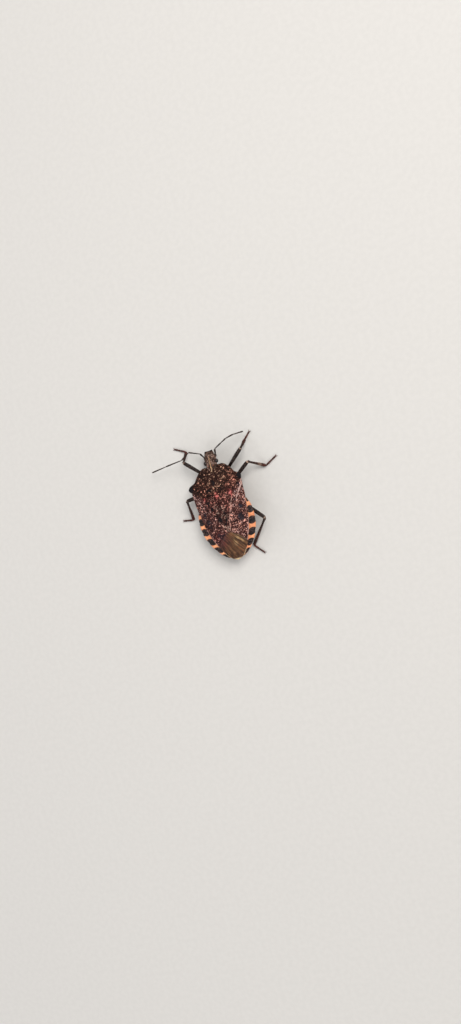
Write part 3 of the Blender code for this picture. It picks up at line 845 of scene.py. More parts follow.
@dataclass(frozen=True, kw_only=True)
class ShellFinish(Finish):
    """Pitted horny shell: black ground, red-brown stains, pale strokes and weals.

    The mesh's blot, weal, warm and red values say where it is darker, where a smooth weal lies, and which
    colours the strokes have. The darkness holds real dark marks and, on the first shield and the wings,
    painted shade and painted light as well.

    Attributes:
        dark: Colour of the ground.
        deep: Colour of its bluish black patches.
        stain: Colour round the strokes.
        cool: Colour of the strokes where the mesh's warm value is 0.
        warm: Colour of the strokes where it is 1.
        weal: Colour of the smooth weals.
        red: Colour of strokes and weals where the mesh's red value is 1.
        blush: Colour round them there.
        pits: Pits a millimetre.
        pit_size: Size of a pit, as a share of its cell.
        islands: How fine the strokes are.
        dark_share: The level that the pattern has to pass, from about 0.6 to 0.9.
        depth: Depth of the relief in millimetres.
        rough: Roughness between the pits.
        gloss: Weight of the coat on the weals.
    """

    dark: Colour
    deep: Colour
    stain: Colour
    cool: Colour
    warm: Colour
    weal: Colour
    red: Colour = (0.58, 0.15, 0.13)
    blush: Colour = (0.12, 0.024, 0.021)
    pits: float = 5.0
    pit_size: float = 0.3
    islands: float = 2.7
    dark_share: float = 0.74
    depth: float = 0.035
    rough: float = 0.46
    gloss: float = 0.2
    specular: float = 0.05
    coat_rough: float = 0.25

    def paint(self, desk: Desk) -> dict[str, Socket]:
        """Lays stain, strokes, pits and weals over the ground, in that order.

        Args:
            desk: Adds the nodes.

        Returns:
            Colour, roughness, relief and the coat on the weals.
        """
        point = desk.point()
        # Darkness from the mesh: real dark marks, plus painted shade and painted light where the first
        # shield and the wings carry them
        blot, weal, warm, red = (desk.named(key) for key in ("blot", "weal", "warm", "red"))
        uneven = desk.noise(point, 1.7, 2.0, 0.6)
        patchy = desk.times(blot, desk.step(uneven, 0.4, 0.6, 0.25, 1.15))
        blot = desk.math("MAXIMUM", patchy, desk.math("SUBTRACT", blot, 1.0))
        island, stain, pit, height = desk.group(MOTTLE, {
            "Point": point, "Pits": self.pits, "Pit Size": self.pit_size, "Islands": self.islands,
            "Dark": desk.mixed(blot, 0.14, self.dark_share),
        })
        tint = desk.noise(point, 1.1)
        shift = desk.math("ADD", warm, desk.step(desk.noise(point, 4.5), 0.38, 0.62, -0.65, 0.55))
        shift = desk.math("MINIMUM", desk.math("MAXIMUM", shift, 0.0), 1.0)
        pale = desk.blend(red, desk.blend(shift, self.cool, self.warm), self.red)
        pale = desk.shade(pale, desk.step(desk.noise(point, 3.1), 0.36, 0.64, 0.65, 1.65))
        colour = desk.blend(desk.step(blot, 0.1, 0.8), self.dark, self.deep)
        colour = desk.shade(colour, desk.step(tint, 0.35, 0.65, 0.7, 1.35))
        stain = desk.times(stain, desk.step(blot, 0.2, 1.1, 1.0, 0.1))
        colour = desk.blend(stain, colour, desk.blend(red, self.stain, self.blush))
        colour = desk.blend(desk.times(red, 0.35), colour, self.blush)
        colour = desk.blend(island, colour, pale)
        colour = desk.blend(desk.times(pit, 0.65), colour, self.dark)
        smooth = desk.step(desk.mixed(desk.noise(point, 4.0, 3.0), 2.4, weal), 1.6, 1.9)
        wear = desk.mixed(smooth, -0.12, desk.mixed(pit, 0.2, self.rough))
        return {
            "Base Color": desk.blend(smooth, colour, desk.blend(red, self.weal, self.red)),
            "Roughness": desk.mixed(tint, 0.08, wear),
            "Normal": desk.relief(desk.times(height, desk.mixed(smooth, -0.8, 1.0)), self.depth),
            "Coat Weight": desk.times(smooth, self.gloss),
        }


@dataclass(frozen=True, kw_only=True)
class SmoothFinish(Finish):
    """Satin horn for limbs, feelers and beak, with pale joints.

    Attributes:
        root: Colour where the mesh's tone value is 0.
        tip: Colour where it is 1.
        pale: Colour where the mesh's pale value is 1.
        rough: Its roughness.
        depth: Depth of the grain in millimetres.
    """

    root: Colour
    tip: Colour
    pale: Colour
    rough: float = 0.36
    depth: float = 0.012
    specular: float = 0.15
    coat: float = 0.08
    coat_rough: float = 0.3

    def paint(self, desk: Desk) -> dict[str, Socket]:
        """Clouds the horn and lays pale joints and specks over it.

        Args:
            desk: Adds the nodes.

        Returns:
            Colour, roughness and relief.
        """
        cloud, speck, grain = desk.group(SPECKS, {"Point": desk.point()})
        colour = desk.blend(desk.named("tone"), self.root, self.tip)
        colour = desk.shade(colour, desk.step(cloud, 0.0, 1.0, 0.7, 1.35))
        share = desk.mixed(cloud, 0.3, desk.math("SUBTRACT", desk.named("pale"), 0.15))
        colour = desk.blend(desk.step(share, 0.25, 0.7), colour, self.pale)
        return {
            "Base Color": desk.blend(desk.times(speck, 0.35), colour, self.pale),
            "Roughness": desk.mixed(cloud, 0.12, self.rough),
            "Normal": desk.relief(desk.mixed(speck, 0.6, grain), self.depth),
        }


@dataclass(frozen=True, kw_only=True)
class EyeFinish(Finish):
    """A glossy many-sided eye: rows of small round lenses.

    Attributes:
        dark: Its darker colour.
        light: Its lighter colour.
        lenses: Lenses a millimetre.
    """

    dark: Colour = (0.006, 0.0035, 0.003)
    light: Colour = (0.03, 0.01, 0.007)
    lenses: float = 16.0
    specular: float = 0.3
    coat: float = 0.2
    coat_rough: float = 0.15

    def paint(self, desk: Desk) -> dict[str, Socket]:
        """Raises each lens as a small dome, dark between the lenses.

        Args:
            desk: Adds the nodes.

        Returns:
            Colour, roughness and relief.
        """
        point = desk.point()
        dome = desk.step(desk.cells(point, self.lenses, "F1", 0.25), 0.1, 0.6, 1.0, 0.0)
        cloud = desk.step(desk.noise(point, 2.5), 0.35, 0.7)
        colour = desk.blend(cloud, self.dark, self.light)
        return {
            "Base Color": desk.shade(colour, desk.step(dome, 0.0, 1.0, 0.6, 1.2)),
            "Roughness": desk.mixed(dome, -0.08, 0.26),
            "Normal": desk.relief(dome, 0.006),
        }


@dataclass(frozen=True, kw_only=True)
class MembraneFinish(Finish):
    """The thin rear part of the wing: brown and silky, with veins and pale rims.

    Attributes:
        ground: Colour between the veins.
        vein: Colour of the veins.
        gold: Colour of the streaks between them.
        maroon: Colour of the ground at the wing's left edge.
        rim: Colour of the outer rim.
    """

    ground: Colour = (0.086, 0.035, 0.0145)
    vein: Colour = (0.028, 0.011, 0.006)
    gold: Colour = (0.38, 0.235, 0.11)
    maroon: Colour = (0.07, 0.018, 0.014)
    rim: Colour = (0.6, 0.43, 0.24)

    def paint(self, desk: Desk) -> dict[str, Socket]:
        """Lays threads that follow the veins, gold streaks, veins and the rim over
        the ground.

        Args:
            desk: Adds the nodes.

        Returns:
            Colour, roughness and relief.
        """
        point = desk.point()
        fine = desk.noise(point, 9.0, 3.0, 0.6)
        fan = desk.add("CombineXYZ", {0: desk.named("turn"), 1: desk.times(desk.named("reach"), 0.35)})
        thread = desk.noise(fan.outputs[0], 1.6, 3.0, 0.65)
        maroon = desk.named("maroon")
        colour = desk.shade(self.ground, desk.step(desk.noise(point, 1.3, 3.0), 0.3, 0.7, 0.75, 1.3))
        colour = desk.blend(maroon, colour, self.maroon)
        colour = desk.shade(colour, desk.step(thread, 0.38, 0.6, 0.4, 1.6))
        streak = desk.times(desk.named("streak"), desk.mixed(maroon, -0.17, 0.2))
        colour = desk.blend(streak, colour, self.gold)
        gold = desk.times(desk.named("gold"), desk.step(thread, 0.46, 0.6, 0.0, 0.8))
        colour = desk.blend(gold, colour, self.gold)
        colour = desk.blend(desk.times(desk.named("vein"), 0.8), colour, self.vein)
        rim = desk.step(desk.mixed(fine, 0.3, desk.named("rim")), 0.35, 0.8)
        colour = desk.blend(rim, colour, self.rim)
        return {
            "Base Color": desk.shade(colour, desk.step(fine, 0.3, 0.7, 0.82, 1.15)),
            "Roughness": desk.mixed(fine, 0.25, 0.26),
            "Normal": desk.relief(fine, 0.008),
        }


@dataclass(frozen=True, kw_only=True)
class PlateFinish(Finish):
    """Rim plates of the abdomen: black blocks and orange waists, finely pitted.

    Attributes:
        orange: Colour of the waists.
        faded: Their colour where they are duller.
        black: Colour of the blocks.
        brown: Colour of the specks on the blocks and of the pits.
    """

    orange: Colour = (0.84, 0.36, 0.17)
    faded: Colour = (0.72, 0.24, 0.11)
    black: Colour = (0.01, 0.006, 0.007)
    brown: Colour = (0.095, 0.045, 0.035)

    def paint(self, desk: Desk) -> dict[str, Socket]:
        """Parts the blocks from the waists with an uneven edge, and pits both.

        Args:
            desk: Adds the nodes.

        Returns:
            Colour, roughness and relief.
        """
        point = desk.point()
        pit = desk.step(desk.cells(point, 5.2), 0.18, 0.34, 1.0, 0.0)
        fine = desk.noise(point, 11.0)
        edge = desk.mixed(fine, 0.16, desk.math("SUBTRACT", desk.named("black"), 0.08))
        cloud = desk.step(desk.noise(point, 2.4, 3.0), 0.35, 0.65)
        orange = desk.blend(cloud, self.orange, self.faded)
        orange = desk.blend(desk.times(pit, 0.25), orange, self.brown)
        speck = desk.step(desk.noise(point, 4.5), 0.52, 0.62)
        dark = desk.blend(desk.times(speck, 0.75), self.black, self.brown)
        return {
            "Base Color": desk.blend(desk.step(edge, -0.05, 0.07), orange, dark),
            "Roughness": desk.mixed(fine, 0.2, 0.34),
            "Normal": desk.relief(desk.mixed(pit, -1.0, desk.times(fine, 0.35)), 0.028),
        }


@dataclass(frozen=True, kw_only=True)
class FloorFinish(Finish):
    """A plain pale floor with a faint grain.

    Attributes:
        colour: Its colour.
        rough: Its roughness.
    """

    colour: Colour = (0.62, 0.6, 0.57)
    rough: float = 0.9
    specular: float = 0.1
    coat: float = 0.0
    coat_rough: float = 0.03

    def paint(self, desk: Desk) -> dict[str, Socket]:
        """Clouds the colour a little, and keeps one roughness all over."""
        tone = desk.step(desk.noise(desk.point(), 1.5, 4.0), 0.3, 0.7, 0.98, 1.01)
        return {"Base Color": desk.shade(self.colour, tone), "Roughness": self.rough}


DEEP: Colour = (0.0105, 0.009, 0.0105)
GROUND: Colour = (0.016, 0.007, 0.0065)
BEAD: Colour = (0.25, 0.05, 0.02)
HAIR: Colour = (0.05, 0.026, 0.018)

HEAD_SHELL = ShellFinish(
    name="head_cuticle",
    dark=(0.022, 0.013, 0.01), deep=(0.008, 0.005, 0.005), stain=(0.075, 0.042, 0.03),
    cool=(0.25, 0.17, 0.135), warm=(0.31, 0.18, 0.145), weal=(0.5, 0.3, 0.16),
    pits=6.0, islands=2.8, dark_share=0.71, depth=0.025,
)
SHIELD_SHELL = ShellFinish(
    name="pronotum_cuticle",
    dark=(0.013, 0.0065, 0.005), deep=DEEP, stain=(0.05, 0.018, 0.013),
    cool=(0.44, 0.27, 0.18), warm=(0.56, 0.22, 0.155), weal=(0.55, 0.36, 0.23), dark_share=0.765,
)
SCUTELLUM_SHELL = ShellFinish(
    name="scutellum_cuticle",
    dark=GROUND, deep=DEEP, stain=(0.055, 0.018, 0.0145),
    cool=(0.37, 0.26, 0.205), warm=(0.5, 0.18, 0.14), weal=(0.46, 0.26, 0.215), dark_share=0.742,
)
WING_SHELL = ShellFinish(
    name="wing_cuticle",
    dark=GROUND, deep=(0.02, 0.017, 0.022), stain=(0.085, 0.029, 0.026),
    cool=(0.52, 0.375, 0.35), warm=(0.57, 0.265, 0.2), weal=(0.46, 0.29, 0.25), dark_share=0.725,
)
UNDER_SHELL = ShellFinish(
    name="underside_cuticle",
    dark=(0.03, 0.015, 0.009), deep=(0.012, 0.008, 0.007), stain=(0.14, 0.065, 0.035),
    cool=(0.36, 0.2, 0.1), warm=(0.42, 0.18, 0.09), weal=(0.5, 0.3, 0.15),
    islands=2.0, dark_share=0.68,
)
SMALL_EYE = SmoothFinish(
    name="small_eye_bead", root=BEAD, tip=BEAD, pale=(0.5, 0.2, 0.08), rough=0.15, depth=0.002,
)
LEG_HORN = SmoothFinish(
    name="leg_horn", root=(0.0065, 0.004, 0.0035), tip=(0.075, 0.018, 0.013), pale=(0.4, 0.27, 0.2),
    coat=0.03,
)
FEELER_HORN = SmoothFinish(
    name="antenna_horn", root=(0.014, 0.009, 0.007), tip=(0.03, 0.016, 0.011), pale=(0.2, 0.11, 0.07),
    rough=0.42,
)
BEAK_HORN = SmoothFinish(
    name="beak_horn", root=(0.06, 0.03, 0.02), tip=(0.015, 0.008, 0.006), pale=(0.3, 0.15, 0.08),
)
FINE_HAIR = SmoothFinish(
    name="fine_hair", root=HAIR, tip=HAIR, pale=(0.1, 0.06, 0.04), rough=0.5, depth=0.001, coat=0.0,
)


# The body


@dataclass
class Head:
    """The head with its middle lobe and cheeks, the eyes and the two small eyes.

    Attributes:
        end: How far back it reaches under the first shield.
        rows: Rings along it.
        columns: Points round it.
        lobe: Half-width of the middle lobe at the tip, and its growth with d.
        groove: Depth of the grooves beside it.
        ridge: Height of the swells on the lobe and on each cheek.
        fade: Between which d the grooves and swells run out.
        humps: A swell on each cheek and a dip beside the middle, farther back.
        horn: How far the cheeks reach past the middle of the tip.
        nose: Within what distance of the tip the head gains its full thickness.
        rim: How far its edge is rounded.
        grain: Height of the fine unevenness.
        midline: The pale line along the middle.
        tips: The dark tips of the cheeks.
        warmth: Share of the warmer colour.
        eye_centre: Place of an eye as x, d and height.
        eye_radii: Its half-sizes.
        bead_at: Place of a small eye as x and d.
        bead_radii: Its half-sizes.
        bead_rise: How far its middle lies over the head.
    """

    end: float = 2.8
    rows: int = 120
    columns: int = 180
    lobe: Pair = (0.2, 0.04)
    groove: float = 0.06
    ridge: float = 0.03
    fade: Pair = (1.2, 1.75)
    humps: Swells = ((0.05, 0.6, 0.14, 1.62, 0.35), (-0.04, 0.3, 0.12, 1.9, 0.3))
    horn: float = 0.12
    nose: float = 0.4
    rim: float = 0.1
    grain: float = 0.02
    midline: Path = (
        (-0.02, 0.6, 0.04), (0.0, 1.2, 0.07), (0.0, 1.9, 0.08), (0.0, 2.3, 0.13), (0.0, 2.8, 0.1),
    )
    tips: Swells = ((2.8, 0.55, 0.2, -0.1, 0.2),)
    warmth: float = 0.25
    eye_centre: Triple = (0.82, 1.55, 1.97)
    eye_radii: Triple = (0.28, 0.31, 0.28)
    bead_at: Pair = (0.37, 2.08)
    bead_radii: Triple = (0.065, 0.065, 0.05)
    bead_rise: float = 0.01

    def top(self, x: Grid, d: Grid, w: Grid) -> Grid:
        """Height of the upper side: edge plus the rest of the crest's height times 1
        minus w to the arch power, with a groove at each side of the middle lobe, low
        swells on lobe and cheeks, and humps farther back.

        Args:
            x: Places across the head.
            d: Places along it.
            w: Place across it, from -1 to 1.

        Returns:
            The height at each place.
        """
        crest, edge = along(PLAN.head_crest, d), along(PLAN.head_edge, d)
        level = edge + (crest - edge) * (1 - np.abs(w) ** ARCH_POWER)
        swell = self.ridge * (bump(x, 0.17) + bump(np.abs(x) - 0.5, 0.18))
        swell = swell - self.groove * bump(np.abs(x) - self.lobe[0] - self.lobe[1] * d, 0.06)
        return level + swell * (1 - ramp(d, *self.fade)) + swells(x, d, self.humps)

    def skin(self) -> Skin:
        """The head as rings from its tip back into the first shield.

        Each ring's thickness about its rim grows from the tip as a quarter circle,
        and the cheeks reach forward past the middle of the tip.

        Returns:
            The skin with its pale line and dark tips.
        """
        w, upper = around(self.columns)
        u = lengthwise(self.rows) ** 1.4
        d = self.end * u
        x = w * along(PLAN.head_half, d)
        edge, keel = along(PLAN.head_edge, d), along(PLAN.head_keel, d)
        fat = quarter((d + 0.015) / self.nose)
        low = keel + (edge - 0.12 - keel) * np.abs(w) ** 2.5
        rim = self.rim * half_round(w)
        level = np.where(upper > 0, self.top(x, d, w) + rim * 0.3, low - rim * 0.5)
        level = edge + (level - edge) * fat
        d = d - self.horn * (1 - bump(x, 0.34)) * (1 - u) ** 4
        rings = place(x, d, level)
        rings[..., 2] += self.grain * ripple(rings, size=0.35, seed=3) * upper * fat
        weal = stroke(x, d, self.midline) * upper
        return Skin.rings(rings, weal=weal, warm=np.full_like(x, self.warmth), blot=swells(x, d, self.tips))

    def small_eyes(self) -> Skin:
        """The two simple eyes, low domes behind the large ones.

        Returns:
            Both as one skin.
        """
        x, d = self.bead_at
        half = along(PLAN.head_half, d)
        z = self.bead_rise + float(self.top(np.array(x), np.array(d), np.array(x / half)))
        return Skin.joined([ball(place(side.value * x, d, z), self.bead_radii, 14, 18) for side in Side])

    def build(self, shell: Material, eye: Material, bead: Material) -> None:
        """Makes the head, its eyes, which are sunk into its sides, and its small eyes.

        Args:
            shell: Material of the head.
            eye: Material of the compound eyes.
            bead: Material of the small eyes.
        """
        self.skin().make("head_skin", shell, "head_shell", ["head"])
        x, d, z = self.eye_centre
        for side in Side:
            skin = ball(place(side.value * x, d, z), self.eye_radii, 40, 48)
            skin.make(f"compound_eye_{side.label}", eye, "eye", [f"eye_{side.label}"])
        self.small_eyes().make("small_eyes", bead, "eye")


@dataclass
class FirstShield:
    """The pronotum with the flanks and underside of the first thorax segment.

    Attributes:
        rows: Rings along it.
        columns: Points round it.
        front: Where its front edge lies in the middle.
        corner: Where its front corners lie.
        neck: How far the front edge beside the head lies before the corners.
        lip: How far the top reaches past the rear wall.
        tooth: Height and spacing of the fine teeth along the front margins.
        teeth_start: Between which d the teeth grow.
        teeth_end: Between which d they fade.
        cushions: The two low cushions behind the neck.
        dip: Depth of the shallow dip across it.
        welt: Height of the ridge along each margin.
        ditch: Depth of the groove inside the ridge.
        rim: How far its edge is rounded.
        shoulder: How far the top falls to its rounded front and rear edges.
        grain: Height of the fine unevenness.
        neck_line: The pale line behind the head.
        pale_spots: Small smooth pale spots.
        dark_shoulders: The nearly black shoulders.
        dark_patches: Darker patches elsewhere.
        pale_and_lit_patches: Paler patches on the bug's right, partly its own paler colour and partly
            painted light on the side where the light falls.
        red_spots: Red spots at the rear edge.
        red_haze: Faintly red areas.
    """

    rows: int = 150
    columns: int = 280
    front: float = 2.6
    corner: float = 2.25
    neck: float = 0.15
    lip: float = 0.02
    tooth: Pair = (0.025, 0.17)
    teeth_start: Pair = (2.3, 2.6)
    teeth_end: Pair = (3.7, 4.1)
    cushions: Swells = ((0.08, 0.85, 0.5, 3.2, 0.28),)
    dip: float = 0.05
    welt: float = 0.05
    ditch: float = 0.03
    rim: float = 0.12
    shoulder: float = 0.14
    grain: float = 0.025
    neck_line: Path = ((0.0, 2.4, 0.12), (0.0, 2.75, 0.1), (0.0, 3.05, 0.03))
    pale_spots: Ovals = ((-0.95, 4.95, 0.12, 0.12), (-1.4, 4.3, 0.16, 0.12), (0.15, 5.16, 0.12, 0.12))
    dark_shoulders: Ovals = ((3.9, 4.55, 0.85, 0.7), (-3.9, 4.4, 0.75, 0.62))
    dark_patches: Ovals = (
        (-0.86, 5.6, 0.7, 0.5), (0.98, 5.47, 0.6, 0.5), (0.1, 4.5, 0.5, 0.6), (-3.3, 5.05, 0.3, 0.5),
    )
    pale_and_lit_patches: Ovals = ((-2.75, 4.9, 0.6, 0.8), (-2.6, 5.4, 0.45, 0.4))
    red_spots: Ovals = ((0.0, 6.0, 0.3, 0.3), (-1.87, 6.05, 0.45, 0.35))
    red_haze: Ovals = ((-2.8, 4.85, 0.8, 0.95), (-1.9, 5.6, 0.9, 0.6))

    def marks(self, x: Grid, d: Grid, middle: Grid, upper: Grid) -> dict[str, Grid]:
        """The named values that its material reads.

        Args:
            x: Places across the shield.
            d: Places along it.
            middle: Places along its middle line, the same across each ring.
            upper: 1 on the upper side and 0 below.

        Returns:
            Weals, blots with painted shade on the bug's left and paler patches that are partly painted
            light on its right, warmth and red.
        """
        weal = np.maximum(stroke(x, d, self.neck_line), 0.85 * spots(x, d, self.pale_spots)) * upper
        blot = np.maximum(
            2.6 * ramp(spots(x, d, self.dark_shoulders), 0.0, 0.5),
            0.95 * ramp(spots(x, d, self.dark_patches), 0.0, 0.8),
        )
        # Painted shade: 0.4 times a ramp over x from 1.8 to 3.2 darkens the bug's left side as if it lay in
        # shade.
        blot = np.maximum(blot, np.maximum(0.4 * ramp(x, 1.8, 3.2), 0.3 * (1 - ramp(middle, 3.3, 4.2))))
        # Partly painted light: these patches make the bug's right side paler where light falls on it, on
        # top of its own paler colour.
        blot = blot - 0.6 * ramp(spots(x, d, self.pale_and_lit_patches), 0.0, 0.6)
        red = np.maximum(
            0.9 * ramp(spots(x, d, self.red_spots), 0.0, 0.7),
            0.12 * ramp(spots(x, d, self.red_haze), 0.0, 0.8),
        )
        warm = 0.95 * ramp(np.abs(x) + 1.2 * (middle - 4.0), 0.6, 3.4)
        return {"weal": weal, "blot": blot, "warm": warm, "red": red}

    def skin(self) -> Skin:
        """The shield as rings from the neck to its rear edge.

        Its top is edge plus the rest of the crest's height times 1 minus w to the
        arch power, and its underside is keel plus the rest of the edge's height times
        the square of w. A sine wave makes fine teeth on the margins. The rear wall
        leans as the solid's does, and the top reaches past it over the scutellum.

        Returns:
            The skin with its marks.
        """
        w, upper = around(self.columns)
        u = lengthwise(self.rows)
        reach = np.abs(w)
        start = self.front - (self.front - self.corner + self.neck) * ramp(reach, 0.48, 0.6)
        start = start + self.neck * ramp(reach, 0.8, 1.0)
        middle = self.front + (PLAN.shield_back - self.front) * u
        beside = self.corner + (PLAN.shield_half[-1][0] - self.corner) * u
        high, spacing = self.tooth
        teeth = high * np.sin(2 * np.pi * beside / spacing) * ramp(beside, *self.teeth_start)
        teeth = teeth * (1 - ramp(beside, *self.teeth_end))
        x = w * (along(PLAN.shield_half, beside) + teeth * reach**16)
        crest, edge = along(PLAN.shield_crest, middle), along(PLAN.shield_edge, beside)
        keel = along(PLAN.shield_keel, middle)
        top = edge + (crest - edge) * (1 - reach**ARCH_POWER) + swells(x, middle, self.cushions)
        top = top - self.dip * bump(middle - 3.85, 0.3) * (1 - reach**4)
        top = top + self.welt * bump(reach - 0.965, 0.035) * (1 - ramp(u, 0.5, 0.75))
        top = top - self.ditch * bump(reach - 0.9, 0.03) * (1 - ramp(u, 0.45, 0.7))
        low = keel + (edge - 0.25 - keel) * reach**2
        level = np.where(upper > 0, top, low - 0.4 * self.rim * half_round(w))
        wall = PLAN.shield_wall(x, level) + self.lip * upper * half_round(w, 8)
        d = start + (wall - start) * u
        ends = quarter(np.maximum(u / 0.03, 0.1)) * quarter(np.maximum((1 - u) / 0.02, 0.1))
        rings = place(x, d, level - upper * self.shoulder * (1 - ends))
        rings[..., 2] += self.grain * ripple(rings, size=0.5, seed=5) * upper
        return Skin.rings(rings, **self.marks(x, d, middle, upper))

    def build(self, shell: Material) -> None:
        """Makes the first shield."""
        self.skin().make("pronotum", shell, "pronotum_shell", ["prothorax"])


@dataclass
class Scutellum:
    """The long triangular shield between the wings.

    Attributes:
        rows: Rings along it.
        columns: Points round it.
        front: Where it starts, under the first shield.
        end: Where it ends.
        tip: Where its tip starts to close, and the length in which it closes.
        thick: Its thickness.
        rise: How far it stands over the back.
        sunk: How much lower it lies under the first shield.
        humps: A dimple at each front corner, the middle swell and a dip near the tip.
        welt: Height of the fine rim.
        grain: Height of the fine unevenness.
        margin: The pale line along each side, given for the bug's left.
        margin_strength: How strong it is on the left and on the right.
        base_spots: The red spots along its base.
        tip_line: The orange line near the tip.
        dark_spots: Darker patches.
        dark_line: A dark line down the middle.
        cool_areas: Where the strokes are cooler in colour.
    """

    rows: int = 170
    columns: int = 150
    front: float = 5.95
    end: float = 11.76
    tip: Pair = (11.4, 0.365)
    thick: float = 0.3
    rise: float = 0.12
    sunk: float = 0.1
    humps: Swells = (
        (-0.07, 1.95, 0.13, 6.6, 0.13), (0.05, 0.0, 0.8, 7.6, 1.1), (-0.05, 0.0, 0.25, 10.7, 0.6),
    )
    welt: float = 0.03
    grain: float = 0.025
    margin: Path = (
        (2.12, 6.7, 0.05), (1.78, 7.5, 0.08), (1.38, 8.45, 0.09), (0.94, 9.5, 0.08),
        (0.64, 10.4, 0.08), (0.36, 11.5, 0.09),
    )
    margin_strength: Pair = (0.4, 1.05)
    base_spots: Ovals = (
        (1.96, 6.42, 0.26, 0.42), (0.02, 6.38, 0.3, 0.46), (-1.92, 6.35, 0.42, 0.36),
        (-2.1, 6.75, 0.16, 0.38),
    )
    tip_line: Path = ((0.38, 10.2, 0.05), (0.1, 10.95, 0.09), (-0.1, 11.2, 0.1), (-0.3, 10.7, 0.05))
    dark_spots: Ovals = (
        (0.55, 9.75, 0.4, 0.75), (-0.6, 8.9, 0.5, 0.55), (-1.75, 7.6, 0.35, 0.6), (1.5, 7.2, 0.5, 0.5),
        (1.2, 8.0, 0.3, 0.4),
    )
    dark_line: Path = ((0.75, 9.0, 0.2), (0.3, 10.3, 0.22), (0.0, 10.6, 0.15), (-0.5, 9.6, 0.2))
    cool_areas: Ovals = ((0.25, 9.2, 1.3, 2.2), (0.0, 11.0, 0.7, 0.9))

    def marks(self, x: Grid, d: Grid, upper: Grid) -> dict[str, Grid]:
        """The named values that its material reads.

        Args:
            x: Places across the scutellum.
            d: Places along it.
            upper: 1 on the upper side and 0 below.

        Returns:
            Weals, blots, warmth and red.
        """
        left, right = self.margin_strength
        base = spots(x, d, self.base_spots)
        weal = np.max([
            left * stroke(x, d, self.margin), right * stroke(-x, d, self.margin),
            0.75 * base, 0.6 * stroke(x, d, self.tip_line),
        ], axis=0)
        dark = np.maximum(spots(x, d, self.dark_spots), stroke(x, d, self.dark_line))
        cool = ramp(spots(x, d, self.cool_areas), 0.0, 0.5)
        return {
            "weal": weal * upper,
            "red": ramp(base, -0.35, 0.5) * np.where(x > 1, 0.8, 1.0),
            "blot": ramp(dark, 0.0, 0.7) - 0.4 * ramp(d, 10.4, 11.1),
            "warm": np.clip(1.05 - cool, 0, 1),
        }

    def skin(self) -> Skin:
        """The scutellum as a plate that follows the back, a little above it.

        It dips to go under the first shield, and its tip closes as a half circle.

        Returns:
            The skin with its marks.
        """
        w, upper = around(self.columns)
        d = self.front + (self.end - self.front) * lengthwise(self.rows)
        close, length = self.tip
        half = along(PLAN.scutellum_half, d) * half_round(np.clip(d - close, 0, 1) / length)
        x = w * np.maximum(half * (1 + 0.03 * bump(d - 9.9, 0.5)), 0.02)
        level = PLAN.back(x, d) + self.rise * ramp(d, 6.0, 6.9) - self.sunk * (1 - ramp(d, 5.95, 6.35))
        level = level + swells(x, d, self.humps)
        level = level + self.welt * bump(np.abs(w) - 0.95, 0.05) * ramp(d, 6.8, 7.4)
        rings = sheet_rings(x, d, level, w, upper, self.thick)
        rings[..., 2] += self.grain * ripple(rings, size=0.45, seed=7) * upper
        return Skin.rings(rings, **self.marks(x, d, upper))

    def build(self, shell: Material) -> None:
        """Makes the scutellum."""
        self.skin().make("scutellum_plate", shell, "scutellum_shell", ["scutellum"])


# Strengths of a wing's inner line, dark patches and red corner, and a shift of its darkness; the right
# wing's shift of -0.2 is painted light that makes that wing lighter all over, as the side the light falls
# on
WING_MARKS_AND_LIGHT = {Side.LEFT: (0.35, 0.9, 0.35, 0.0), Side.RIGHT: (1.15, 1.1, 0.0, -0.2)}


